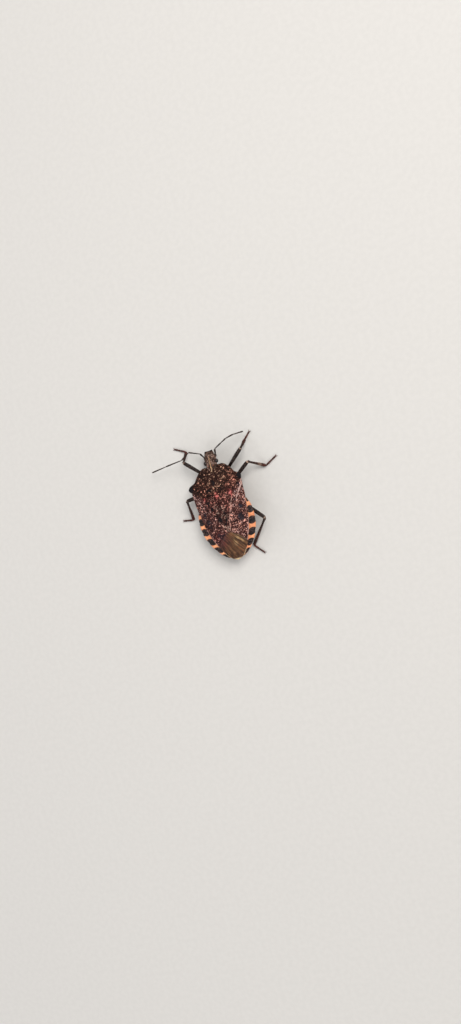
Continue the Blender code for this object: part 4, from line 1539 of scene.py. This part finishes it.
@dataclass
class Wings:
    """The leathery forewings and the veined membrane that closes over the tail.

    Attributes:
        rows: Rings along each piece.
        columns: Points round a leathery wing.
        root: The x of its front edge at its inner and outer end.
        seat: Where the back's height is read for that edge.
        tuck: How far it reaches under the first shield.
        thick: Its thickness.
        step: How far it stands over the back.
        sunk: How much lower it lies under the first shield.
        suture: Distance of its groove from the scutellum.
        relief: Depth of the groove, and heights of the vein, its fork and the edge.
        grain: Height of the fine unevenness.
        inner_line: The pale line beside the scutellum.
        costal_line: The pale outer edge.
        patches: Dark patches.
        rear_corner: The dark red corner.
        film_columns: Points round the membrane.
        film_front: Where the membrane starts, under the leathery wings.
        film_end: Where it ends.
        film_thick: Its thickness.
        fan: Where its veins come from, as x and d.
        vein_angle: Degrees between two veins.
        vein_rise: Height of a vein.
        gold: Where it is gold between the veins.
        maroon: Where its ground is dark red.
    """

    rows: int = 180
    columns: int = 130
    root: Pair = (2.3, 3.64)
    seat: float = 5.8
    tuck: float = 0.25
    thick: float = 0.16
    step: float = 0.07
    sunk: float = 0.09
    suture: float = 0.55
    relief: tuple[float, float, float, float] = (0.06, 0.06, 0.04, 0.05)
    grain: float = 0.022
    inner_line: Path = (
        (3.7, 4.9, 0.14), (3.59, 5.73, 0.18), (3.13, 6.31, 0.15), (2.85, 6.8, 0.12), (2.6, 7.16, 0.12),
        (2.39, 7.67, 0.07),
    )
    costal_line: Path = (
        (3.35, 9.7, 0.02), (3.12, 10.8, 0.05), (2.72, 12.0, 0.08), (2.2, 13.2, 0.1), (2.1, 13.45, 0.08),
    )
    patches: Ovals = (
        (2.35, 10.0, 0.9, 1.15), (2.7, 8.6, 0.55, 0.7), (2.5, 11.3, 0.4, 0.5), (3.2, 5.6, 0.3, 0.6),
        (2.2, 7.5, 0.3, 0.4),
    )
    rear_corner: Ovals = ((1.6, 12.2, 1.7, 1.5),)
    film_columns: int = 170
    film_front: float = 11.35
    film_end: float = 15.7
    film_thick: float = 0.09
    fan: Pair = (3.8, 6.63)
    vein_angle: float = 2.5
    vein_rise: float = 0.045
    gold: Ovals = ((-0.95, 12.55, 0.5, 0.8), (-1.4, 13.2, 0.4, 0.45), (-0.5, 13.1, 0.4, 0.9))
    maroon: Ovals = ((1.75, 12.4, 1.2, 1.3),)

    def marks(self, side: Side, x: Grid, d: Grid, groove: Grid, upper: Grid) -> dict[str, Grid]:
        """The named values that a leathery wing's material reads.

        Args:
            side: The wing.
            x: Places across it, out from the body's middle.
            d: Places along it.
            groove: 1 in its groove.
            upper: 1 on the upper side and 0 below.

        Returns:
            Weals, blots with painted light that lightens the right wing, warmth and red.
        """
        # The shift is painted light: -0.2 makes the right wing lighter all over, as the side the light
        # falls on.
        line, patch, rear, shift = WING_MARKS_AND_LIGHT[side]
        weal = np.maximum(line * stroke(x, d, self.inner_line), 0.8 * stroke(x, d, self.costal_line))
        red = rear * ramp(spots(x, d, self.rear_corner), 0.0, 0.7)
        dark = np.maximum(patch * ramp(spots(x, d, self.patches), 0.0, 0.9), 0.6 * groove)
        warm = 0.75 + 0.3 * ramp(d, 6, 8) - 0.1 * ramp(d, 10.5, 12)
        return {
            "weal": weal * upper, "red": red, "warm": np.clip(warm, 0, 1),
            "blot": np.maximum(dark, 2.0 * red) + shift,
        }

    def corium(self, side: Side) -> Skin:
        """One leathery wing, from under the first shield to its slanting rear edge.

        Its inner edge follows the scutellum and then slants out to the rear corner.
        A groove parts the strip beside the scutellum, a vein and its fork run along
        the middle, and the outer edge is raised.

        Args:
            side: The wing.

        Returns:
            The skin with its marks.
        """
        w, upper = around(self.columns)
        share = (1 + w * side.value) / 2
        root = self.root[0] + (self.root[1] - self.root[0]) * share
        front = PLAN.shield_wall(root, PLAN.back(root, np.full_like(root, self.seat))) - self.tuck
        d = front + (PLAN.apex[0] + 0.05 - front) * lengthwise(self.rows)
        half, beside = along(PLAN.costa_half, d), along(PLAN.scutellum_half, d)
        beyond = np.clip((d - PLAN.scutellum_tip) / (PLAN.apex[0] - PLAN.scutellum_tip), 0, 1)
        inner = np.where(d < PLAN.scutellum_tip, beside - 0.06, 0.24 + (half - 0.2) * beyond**0.92)
        inner = np.minimum(inner, half - 0.03)
        x = inner + (half - inner) * share
        level = PLAN.back(x, d) + self.step * ramp(d - front, 0.3, 1.1)
        level = level - self.sunk * (1 - ramp(d - front, 0.05, 0.5))
        groove = bump(x - beside - self.suture * (1 - 0.3 * beyond), 0.05) * (1 - ramp(d, 11.2, 12.0))
        vein = bump(x - half * 0.8 - 0.1, 0.12) * (1 - ramp(d, 10.5, 11.6))
        fork = bump(x - half * 0.5 - 0.25, 0.1) * ramp(d, 7.5, 8.2) * (1 - ramp(d, 11.0, 12.2))
        edge = bump(x - half + 0.07, 0.06)
        deep, high, low, rim = self.relief
        level = level - deep * groove + high * vein + low * fork + rim * edge
        rings = sheet_rings(side.value * x, d, level, w, upper, self.thick)
        rings[..., 2] += self.grain * ripple(rings, size=0.4, seed=11) * upper
        return Skin.rings(rings, **self.marks(side, x, d, groove, upper))

    def veins(self, x: Grid, d: Grid) -> Grid:
        """The angle about the fan's centre, whole on each vein, shifted by two sine waves."""
        turn = np.degrees(np.arctan2(self.fan[0] - x, d - self.fan[1])) / self.vein_angle
        return turn + 0.2 * np.sin(2.3 * turn) + 0.3 * np.sin(0.9 * turn + 1.0)

    def membrane(self) -> Skin:
        """The thin membrane, from under the leathery wings to the tail.

        Its veins spread from the left wing's rear edge like a fan and stand up as
        rounded ridges of uneven strength. It lies lower where the wings cover it.

        Returns:
            The skin with the values for veins, streaks, colours and rim.
        """
        w, upper = around(self.film_columns)
        share = 0.5 - 0.5 * np.cos(np.pi * lengthwise(self.rows))
        d = self.film_front + (self.film_end - self.film_front) * share
        x = w * along(PLAN.membrane_half, d)
        left = self.film_end - d
        turn = self.veins(x, d)
        off = np.abs(turn - np.round(turn))
        ridge = bump(off, 0.16) * (0.6 + 0.4 * np.sin(12.9 * np.round(turn))) * ramp(left, 0.05, 0.5)
        covered = 1 - ramp(d - PLAN.scutellum_tip - 0.85 * np.abs(x), -0.25, 0.05)
        level = PLAN.back(x, d) + self.vein_rise * ridge - 0.05 * covered
        level = level + 0.03 * ripple(place(x, d, np.zeros_like(x)), size=1.1, seed=13)
        rim = np.maximum(1 - left / 0.33, bump(np.abs(w) - 1, 0.05) * ramp(d, 14.1, 14.8))
        return Skin.rings(
            sheet_rings(x, d, level, w, upper, self.film_thick),
            vein=ridge * upper, streak=bump(off - 0.5, 0.13) * (1 - 0.8 * ramp(d, 13.2, 15.5)),
            gold=ramp(spots(x, d, self.gold), 0.0, 0.7),
            maroon=np.clip(0.7 + spots(x, d, self.maroon), 0, 1),
            rim=np.clip(rim, 0, 1), turn=turn, reach=d,
        )

    def build(self, shell: Material, film: Material) -> None:
        """Makes both leathery wings and the membrane.

        Args:
            shell: Material of the leathery wings.
            film: Material of the membrane.
        """
        for side in Side:
            self.corium(side).make(f"corium_{side.label}", shell, "wing", [f"forewing_{side.label}"])
        self.membrane().make("wing_membrane", film, "wing", ["forewing_left"])


@dataclass
class Abdomen:
    """The belly and the row of banded plates along each side.

    Attributes:
        blocks: The black blocks of the plates, as d and half-length.
        block_half: Half-width of a block, as a share of the plate that shows.
        rows: Rings along a plate.
        columns: Points round it.
        seam: Half the gap between two plates.
        thick: A plate's thickness.
        scallop: How far a plate's outer edge draws in at its ends.
        tooth: Size of the tooth at its rear corner.
        bulge: How far its top swells in the middle.
        belly_span: Where the belly starts and ends.
        belly_rows: Rings along the belly.
        belly_columns: Points round it.
        hole: Half-width of a breathing hole as a share of the width, and half-length.
    """

    blocks: Stations = (
        (7.85, 0.45), (9.33, 0.54), (10.85, 0.56), (12.38, 0.54), (13.75, 0.5), (14.82, 0.36), (15.5, 0.35),
    )
    block_half: float = 0.68
    rows: int = 60
    columns: int = 64
    seam: float = 0.012
    thick: float = 0.3
    scallop: float = 0.07
    tooth: float = 0.035
    bulge: float = 0.1
    belly_span: Pair = (7.7, 15.45)
    belly_rows: int = 220
    belly_columns: int = 180
    hole: Pair = (0.022, 0.07)

    def plate(self, side: Side, start: float, end: float) -> Skin:
        """One plate of the rim between two sutures.

        It runs from under the wing to the outline, its outer edge bows out between
        the sutures and ends in a small tooth, and its top swells in the middle.

        Args:
            side: The side of the body.
            start: The suture before it.
            end: The suture behind it.

        Returns:
            The skin with its black blocks, as soft spots over the part that shows.
        """
        w, upper = around(self.columns)
        u = lengthwise(self.rows)
        d = start + self.seam + (end - start - 2 * self.seam) * u
        middle = 1 - np.abs(2 * u - 1) ** 6
        share = (w + 1) / 2
        outer = along(PLAN.abdomen_half, d) + self.scallop * (middle - 1)
        outer = outer + self.tooth * bump(u - 0.97, 0.03)
        cover = PLAN.wing_half(d)
        inner = np.minimum(cover - 0.28, outer - 0.4)
        x = inner + (outer - inner) * share
        ledge, edge = along(PLAN.costa_edge, d) - 0.12, along(PLAN.abdomen_edge, d)
        swell = self.bulge * (middle - 0.5) * np.sin(np.pi * np.clip(share, 0.02, 0.98))
        level = ledge + (edge - ledge) * share + swell
        rings = sheet_rings(side.value * x, d, level, w, upper, self.thick)
        rings[..., 2] += 0.012 * ripple(rings, size=0.3, seed=17) * upper
        seen = (x - cover) / np.maximum(outer - cover, 0.1)
        return Skin.rings(
            rings, black=spots(seen, d, [(0.5, at, self.block_half, long) for at, long in self.blocks])
        )

    def belly(self) -> Skin:
        """The abdomen below its rim, as rings from the thorax to the tail.

        The underside is keel plus the rest of the edge's height times w to the power
        1.5, with a groove at each suture and a dark breathing hole at each side
        between two.

        Returns:
            The skin with its holes and grooves.
        """
        w, upper = around(self.belly_columns)
        start, end = self.belly_span
        d = start + (end - start) * lengthwise(self.belly_rows)
        x = w * (along(PLAN.abdomen_half, d) - 0.06)
        edge, keel = along(PLAN.abdomen_edge, d), along(PLAN.abdomen_keel, d)
        near = np.min([np.abs(d - s + 0.12 * np.abs(w)) for s in PLAN.sutures], axis=0)
        low = keel + (edge - 0.3 - keel) * np.abs(w) ** 1.5 + 0.06 * bump(near, 0.06)
        cover = PLAN.wing_half(d)
        high = PLAN.back(np.minimum(np.abs(x), cover), d) - 0.35
        high = np.where(np.abs(x) > cover - 0.4, edge - 0.2, high)
        rings = place(x, d, np.where(upper > 0, high, low))
        rings[..., 2] -= 0.02 * ripple(rings, size=0.5, seed=19) * (1 - upper)
        pairs = zip(PLAN.sutures, PLAN.sutures[1:])
        holes = spots(np.abs(w), d, [(0.8, (a + b) / 2, *self.hole) for a, b in pairs])
        blot = 2.5 * ramp(holes, 0, 0.5) + 0.6 * bump(near, 0.05)
        return Skin.rings(
            rings, blot=np.minimum(blot, 3), warm=0.3 * np.abs(w), weal=np.full_like(x, NO_WEAL)
        )

    def build(self, plate: Material, belly: Material) -> None:
        """Makes the belly and all the plates.

        Args:
            plate: Material of the plates.
            belly: Material of the belly.
        """
        self.belly().make("belly", belly, "abdomen_shell", ["abdomen"])
        for side in Side:
            for number, (start, end) in enumerate(zip(PLAN.sutures, PLAN.sutures[1:]), 1):
                name = f"rim_plate_{side.label}_{number}"
                self.plate(side, start, end).make(name, plate, "abdomen_shell", ["abdomen"])


@dataclass
class Underside:
    """The second and third thorax segments, below the wings.

    Attributes:
        front: Where it starts, inside the first shield.
        end: Where it ends.
        rows: Rings along it.
        columns: Points round it.
        margin: How much wider it is than the solid.
        seam: Where the groove between the segments lies in the middle.
        furrow: The scent furrow on each flank, across by share of the half-width.
        ceiling: How high its top may reach.
    """

    front: float = 5.0
    end: float = 7.95
    rows: int = 70
    columns: int = 160
    margin: float = 0.15
    seam: float = 6.35
    furrow: Swells = ((-0.06, 0.62, 0.1, 6.95, 0.14),)
    ceiling: float = 3.25

    def skin(self) -> Skin:
        """The thorax as rings. Its top stays below the wings, and its underside rises
        as the square of x, with a slanting groove between the segments, a low keel
        and a scent furrow on each flank.

        Returns:
            The skin with its dark groove.
        """
        w, upper = around(self.columns)
        d = self.front + (self.end - self.front) * lengthwise(self.rows)
        x = w * (PLAN.thorax_half + self.margin)
        off = d - self.seam - 0.3 * np.abs(w)
        low = PLAN.under(x) + 0.07 * bump(off, 0.07) + 0.05 * bump(x, 0.16) + swells(w, d, self.furrow)
        high = np.minimum(PLAN.back(x, np.maximum(d, 6.0)) - 0.4, self.ceiling)
        rings = place(x, d, np.where(upper > 0, np.maximum(high, low + 0.1), low))
        rings[..., 2] -= 0.02 * ripple(rings, size=0.4, seed=23) * (1 - upper)
        return Skin.rings(
            rings, blot=0.6 * bump(off, 0.06), warm=np.full_like(x, 0.2), weal=np.full_like(x, NO_WEAL)
        )

    def build(self, shell: Material) -> None:
        """Makes the thorax's underside."""
        self.skin().make("thorax_underside", shell, "underside_shell", ["thorax"])


# Limbs, feelers and beak


@dataclass(frozen=True)
class Leg:
    """One leg: hip, thigh, shin and a foot of three joints with two claws.

    Attributes:
        name: Its pair and side.
        hip: Where it leaves the body, as x and d.
        knee: Its knee as x, d and height.
        ankle: Its ankle as x and d.
        toe: The end of its foot as x and d.
        seed: Picks the places of its hairs.
        thigh_radius: Greatest radius of the thigh.
        shin_radius: Usual radius of the shin.
        foot_radius: Usual radius of the foot.
        ankle_height: Height of the ankle.
        hip_drop: How far the hip's joint lies below the body.
        bloom: How pale the shin is in its middle.
    """

    name: str
    hip: Pair
    knee: Triple
    ankle: Pair
    toe: Pair
    seed: int
    thigh_radius: float = 0.27
    shin_radius: float = 0.18
    foot_radius: float = 0.115
    ankle_height: float = 0.2
    hip_drop: float = 0.3
    bloom: float = 0.1

    def corners(self) -> tuple[Grid, Grid, Grid, Grid]:
        """Its corners, with the hip's joint below the body and the toe on the floor.

        Returns:
            Hip, knee, ankle and toe in millimetres.
        """
        hip_z = float(PLAN.under(np.array(self.hip[0]))) - self.hip_drop
        hip, ankle = place(*self.hip, hip_z), place(*self.ankle, self.ankle_height)
        return hip, place(*self.knee), ankle, place(*self.toe, self.foot_radius + 0.01)

    def rods(self) -> dict[str, Rod]:
        """The leg's lengths, each set a little into the one before it.

        Returns:
            The rods by name, from the body outwards.
        """
        hip, knee, ankle, toe = self.corners()
        thigh, shin, foot = unit(knee - hip), unit(ankle - knee), toe - ankle
        up = np.array((0.0, 0.0, 1.0))
        neck = hip + thigh * 0.55
        r, s, t = self.thigh_radius, self.shin_radius, self.foot_radius
        slim, full = ((0, 0.15), (0.15, 0.19)), ((0.5, r * 0.92), (0.8, r), (0.93, r * 0.9), (1, r * 0.7))
        calf = ((0, s * 0.85), (0.05, s), (0.12, s * 0.82), (0.5, s * 0.9), (0.9, s * 1.08), (1, s))
        heel = ((0, t * 0.8), (0.7, t * 1.12), (1, t))
        sole = ((0, t * 0.75), (0.7, t * 1.05), (1, t * 0.9))
        ball_of_foot = ((0, t * 0.7), (0.6, t * 1.05), (1, t * 0.85))
        return {
            "hip": Rod(hip + up * 0.55, hip - up * 0.12, ((0, 0.36), (0.6, 0.33), (1, 0.24)), rows=20),
            "ring": Rod(hip, neck, ((0, 0.2), (0.5, 0.23), (1, 0.17)), rows=16),
            "thigh": Rod(
                neck - thigh * 0.12, knee + thigh * 0.08, slim + full,
                bow=0.05, flute=0.03, ridges=5, rows=56, sides=28,
            ),
            "shin": Rod(
                knee - shin * 0.06, ankle, calf, bow=-0.05, flute=0.12, ridges=4, rows=64, sides=32,
            ),
            "foot_1": Rod(ankle - unit(foot) * 0.05, ankle + foot * 0.48, heel, rows=24),
            "foot_2": Rod(ankle + foot * 0.45, ankle + foot * 0.66, sole, rows=18),
            "foot_3": Rod(ankle + foot * 0.62, toe, ball_of_foot, rows=24),
        }

    def skin(self, rods: dict[str, Rod]) -> Skin:
        """All the leg's lengths as one skin. The knee and the shin's middle are pale.

        Args:
            rods: The leg's lengths.

        Returns:
            The skin with its tone and its pale parts.
        """
        full = self.bloom
        pales = {
            "ring": 0.2,
            "thigh": ((0, 0.0), (0.955, 0.0), (0.975, 0.65), (0.992, 0.4), (1, 0.1)),
            "shin": (
                (0, 0.3), (0.04, 0.2), (0.1, 0.0), (0.2, 0.4 * full), (0.5, full), (0.75, full),
                (0.88, 0.0), (1, 0.0),
            ),
        }
        tones = {
            "hip": 0.1, "ring": 0.15, "thigh": 0.05, "shin": ((0, 0.05), (0.5, 0.35), (1, 0.8)),
            "foot_1": 0.9, "foot_2": 1.0, "foot_3": 0.8,
        }
        return Skin.joined([
            rods[key].skin(tone=tone, pale=pales.get(key, 0.0)) for key, tone in tones.items()
        ])

    def claws(self) -> Skin:
        """Two hooked claws of two lengths each, and the two pads between them.

        Returns:
            All of them as one skin.
        """
        _, _, ankle, toe = self.corners()
        ahead = unit((toe - ankle) * (1, 1, 0))
        aside = np.array((-ahead[1], ahead[0], 0.0))
        root = toe - ahead * 0.05
        parts = []
        for way in (1, -1):
            bend = root + ahead * 0.17 + aside * 0.1 * way
            tip = root + ahead * 0.3 + aside * 0.17 * way
            tip[2] = 0.02
            pad = root + ahead * 0.12 + aside * 0.05 * way
            pad[2] = 0.05
            base = Rod(root, bend, ((0, 0.055), (1, 0.04)), rows=10, sides=12)
            hook = Rod(
                bend - (bend - root) * 0.1, tip, ((0, 0.042), (0.7, 0.024), (1, 0.008)),
                bow=0.025, rows=14, sides=12,
            )
            parts += [base.skin(tone=1.0), hook.skin(tone=0.6)]
            parts.append(ball(pad, (0.06, 0.06, 0.045), 12, 16, tone=0.9, pale=0.5))
        return Skin.joined(parts)

    def build(self, horn: Material, hair: Material) -> None:
        """Makes the leg, its claws and its fine hairs.

        Args:
            horn: Material of the leg and the claws.
            hair: Material of the hairs.
        """
        rods = self.rods()
        nodes = [f"leg_{self.name}_{part}" for part in ("femur", "tibia", "tarsus")]
        self.skin(rods).make(f"leg_{self.name}", horn, "femur", nodes)
        self.claws().make(f"claws_{self.name}", horn, "foot", [nodes[2]])
        hairs = Skin.joined([
            rods[key].bristles(count, length, self.seed + number)
            for number, (key, (count, length)) in enumerate(LEG_HAIRS.items())
        ])
        hairs.make(f"hairs_{self.name}", hair, "shin", [nodes[1]])


@dataclass(frozen=True)
class Feeler:
    """One antenna of five segments on a short knob.

    Attributes:
        side: The side of the head.
        joints: The ends of its segments as x, d and height.
        seed: Picks the places of its hairs.
        radii: Radius of each segment.
        bows: How far each segment is bent upwards.
        hairs: Hairs on each segment.
        hair: Length of a hair.
    """

    side: Side
    joints: Sequence[Triple]
    seed: int
    radii: Sequence[float] = (0.12, 0.085, 0.085, 0.09, 0.085)
    bows: Sequence[float] = (0.0, 0.05, 0.0, 0.06, -0.05)
    hairs: Sequence[int] = (30, 110, 110, 240, 260)
    hair: float = 0.06

    def rods(self) -> list[Rod]:
        """Its segments: each is thin where it starts and thickest near its end.

        Returns:
            The rods from the head outwards.
        """
        corners = [place(*joint) for joint in self.joints]
        rods = []
        for start, end, r, bow in zip(corners, corners[1:], self.radii, self.bows):
            past = unit(end - start) * 0.03
            profile = ((0, r * 0.6), (0.12, r * 0.72), (0.6, r), (0.92, r * 1.06), (1, r * 0.85))
            rods.append(Rod(start - past, end + past, profile, bow=bow, rows=44, sides=18))
        return rods

    def build(self, horn: Material, hair: Material) -> None:
        """Makes the segments with their knob, and their fine hairs.

        Args:
            horn: Material of the segments.
            hair: Material of the hairs.
        """
        rods = self.rods()
        nodes = [f"antenna_{self.side.label}_{part}" for part in ("base", "tip")]
        x, d, z = self.joints[0]
        knob = ball(place(x * 0.9, d + 0.15, z), (0.2, 0.26, 0.17), tone=0.2)
        ends = ((0, 0.55), (0.06, 0.2), (0.12, 0.0), (0.94, 0.0), (1, 0.3))
        parts = [rod.skin(tone=0.25 * number, pale=ends) for number, rod in enumerate(rods)]
        Skin.joined([knob, *parts]).make(f"antenna_{self.side.label}", horn, "antenna", nodes)
        hairs = Skin.joined([
            rod.bristles(count, self.hair, self.seed + number, 0.6)
            for number, (rod, count) in enumerate(zip(rods, self.hairs))
        ])
        hairs.make(f"antenna_hairs_{self.side.label}", hair, "antenna", nodes[1:])


@dataclass
class Beak:
    """The four-jointed beak, folded back along the underside.

    Attributes:
        joints: The ends of its segments as x, d and height.
        radii: Radius of each segment.
        closing: Radius at each segment's end, as a share of its own.
    """

    joints: Sequence[Triple] = (
        (0.0, 0.55, 1.15), (0.0, 1.15, 0.66), (0.0, 2.9, 0.55), (0.0, 4.7, 0.52), (0.0, 6.5, 0.5),
    )
    radii: Sequence[float] = (0.17, 0.14, 0.12, 0.1)
    closing: Sequence[float] = (0.85, 0.85, 0.85, 0.3)

    def build(self, horn: Material) -> None:
        """Makes the beak's four segments, darker towards the tip.

        Args:
            horn: Their material.
        """
        corners = [place(*joint) for joint in self.joints]
        parts = []
        for start, end, r, last in zip(corners, corners[1:], self.radii, self.closing):
            past = unit(end - start) * 0.04
            profile = ((0, r * 0.85), (0.15, r), (0.8, r * 0.92), (1, r * last))
            rod = Rod(start - past, end + past, profile, flute=0.07, ridges=2, rows=30)
            parts.append(rod.skin(tone=0.2 + 0.2 * len(parts), pale=((0, 0.3), (0.1, 0.0), (1, 0.0))))
        Skin.joined(parts).make("beak", horn, "beak", ["rostrum"])


LEG_HAIRS = {
    "thigh": (140, 0.07), "shin": (320, 0.12), "foot_1": (90, 0.09), "foot_2": (40, 0.08),
    "foot_3": (60, 0.08),
}
LEGS = (
    Leg("front_right", (-1.15, 3.6), (-4.71, 0.9, 2.0), (-5.14, -0.2), (-6.04, -1.06), 100),
    Leg("front_left", (1.15, 3.6), (3.93, 0.5, 2.0), (3.73, -1.05), (5.31, -1.9), 110),
    Leg("middle_right", (-1.3, 5.45), (-5.12, 2.97, 1.95), (-7.07, 4.17), (-8.73, 3.29), 120, bloom=0.4),
    Leg("middle_left", (1.3, 5.45), (5.04, 5.87, 2.0), (5.45, 8.67), (6.93, 8.42), 130),
    Leg("hind_right", (-1.6, 7.05), (-5.29, 11.09, 1.95), (-2.17, 14.45), (-3.34, 15.8), 140),
    Leg("hind_left", (1.6, 7.05), (3.85, 11.5, 1.2), (0.75, 14.55), (-0.35, 15.2), 150),
)
FEELERS = (
    Feeler(Side.LEFT, (
        (0.9, 0.62, 1.55), (1.3, -0.03, 1.68), (2.7, -0.67, 2.2), (3.94, 0.12, 2.5), (6.6, 0.27, 2.1),
        (9.04, 0.45, 1.65),
    ), 900),
    Feeler(Side.RIGHT, (
        (-0.85, 0.62, 1.55), (-0.96, -0.08, 1.65), (-2.1, -0.62, 1.8), (-2.95, -1.0, 1.85),
        (-4.1, -1.26, 1.65), (-5.51, -1.27, 1.3),
    ), 910),
)


# Studio


@dataclass(frozen=True)
class Lamp:
    """A soft square light that shines at the bug.

    Attributes:
        name: Its name.
        at: Its place in metres.
        size: Length of its side in metres.
        power: Its power in watts.
        colour: Its colour.
    """

    name: str
    at: Triple
    size: float
    power: float
    colour: Colour = (1.0, 1.0, 1.0)

    def build(self) -> None:
        """Makes the light and points it at the origin."""
        data = bpy.data.lights.new(self.name, "AREA")
        data.size, data.energy, data.color = self.size, self.power, self.colour
        lamp = bpy.data.objects.new(self.name, data)
        lamp.location = self.at
        lamp.rotation_mode = "QUATERNION"
        lamp.rotation_quaternion = (-Vector(self.at)).to_track_quat("-Z", "Y")
        bpy.context.scene.collection.objects.link(lamp)


@dataclass
class Studio:
    """Floor, lights and camera, set as the photograph is seen.

    Attributes:
        lens: Focal length in millimetres.
        film: Long side of the picture plane in millimetres.
        clip: Nearest and farthest distance that the camera sees, in metres.
        distance: From the camera to the point looked at, in millimetres.
        target: That point as x, d and height.
        roll: Angle in degrees by which the camera leans to the bug's right.
        turn: Angle in degrees by which the picture is turned.
        floor_half: Half the floor's width in metres.
        lamps: The lights.
        sky: Colour of the light from all round.
        glow: Strength of that light.
    """

    lens: float = 27.0
    film: float = 36.0
    clip: Pair = (0.001, 10.0)
    distance: float = 107.0
    target: Triple = (-0.89, 9.03, 2.5)
    roll: float = 17.0
    turn: float = 16.2
    floor_half: float = 0.6
    lamps: Sequence[Lamp] = (
        Lamp("key_light", (-0.15, -0.12, 0.26), 0.2, 0.95, (1.0, 0.98, 0.96)),
        Lamp("side_light", (0.24, -0.02, 0.16), 0.22, 0.25, (0.96, 0.97, 1.0)),
        Lamp("back_light", (0.02, 0.24, 0.18), 0.18, 0.25),
    )
    sky: Colour = (0.97, 0.98, 1.0)
    glow: float = 0.34

    def camera(self) -> None:
        """Makes the camera. It leans by the roll about the body's line, and its
        picture is then turned about its own line of sight."""
        roll, turn = np.radians(self.roll), np.radians(self.turn)
        aside = np.array((-np.cos(roll), 0.0, -np.sin(roll)))
        back = np.array((0.0, 1.0, 0.0))
        ahead = np.cross(aside, back)
        right = aside * np.cos(turn) + back * np.sin(turn)
        down = back * np.cos(turn) - aside * np.sin(turn)
        eye = place(*self.target) - ahead * self.distance
        data = bpy.data.cameras.new("camera")
        data.lens, data.sensor_fit, data.sensor_width = self.lens, "AUTO", self.film
        data.clip_start, data.clip_end = self.clip
        camera = bpy.data.objects.new("camera", data)
        turned = Matrix((right, -down, -ahead)).transposed().to_4x4()
        camera.matrix_world = Matrix.Translation(Vector(eye * MM)) @ turned
        bpy.context.scene.collection.objects.link(camera)
        bpy.context.scene.camera = camera

    def floor(self) -> None:
        """Makes a pale square floor."""
        mesh = bpy.data.meshes.new("floor")
        half = self.floor_half
        corners = [(-half, -half, 0), (half, -half, 0), (half, half, 0), (-half, half, 0)]
        mesh.from_pydata(corners, [], [(0, 1, 2, 3)])
        mesh.materials.append(FloorFinish(name="pale_floor").material())
        floor = bpy.data.objects.new("floor", mesh)
        bpy.context.scene.collection.objects.link(floor)

    def build(self) -> None:
        """Makes the whole studio, and shows colours as they are."""
        self.camera()
        self.floor()
        for lamp in self.lamps:
            lamp.build()
        world = bpy.data.worlds.new("studio")
        world.use_nodes = True
        background = world.node_tree.nodes["Background"]
        background.inputs["Color"].default_value = (*self.sky, 1.0)
        background.inputs["Strength"].default_value = self.glow
        bpy.context.scene.world = world
        bpy.context.scene.view_settings.view_transform = "Standard"


# The whole bug


def main() -> None:
    """Builds every piece in order. Each piece reports itself when it is made."""
    logging.basicConfig(level=logging.INFO, format="%(name)s %(message)s")
    under = UNDER_SHELL.material()
    hair = FINE_HAIR.material()
    leg_horn = LEG_HORN.material()
    feeler_horn = FEELER_HORN.material()
    Studio().build()
    Head().build(HEAD_SHELL.material(), EyeFinish(name="compound_eye").material(), SMALL_EYE.material())
    FirstShield().build(SHIELD_SHELL.material())
    Scutellum().build(SCUTELLUM_SHELL.material())
    Wings().build(WING_SHELL.material(), MembraneFinish(name="wing_film").material())
    Abdomen().build(PlateFinish(name="banded_plate").material(), under)
    Underside().build(under)
    Beak().build(BEAK_HORN.material())
    for feeler in FEELERS:
        feeler.build(feeler_horn, hair)
    for leg in LEGS:
        leg.build(leg_horn, hair)


if __name__ == "__main__":
    main()
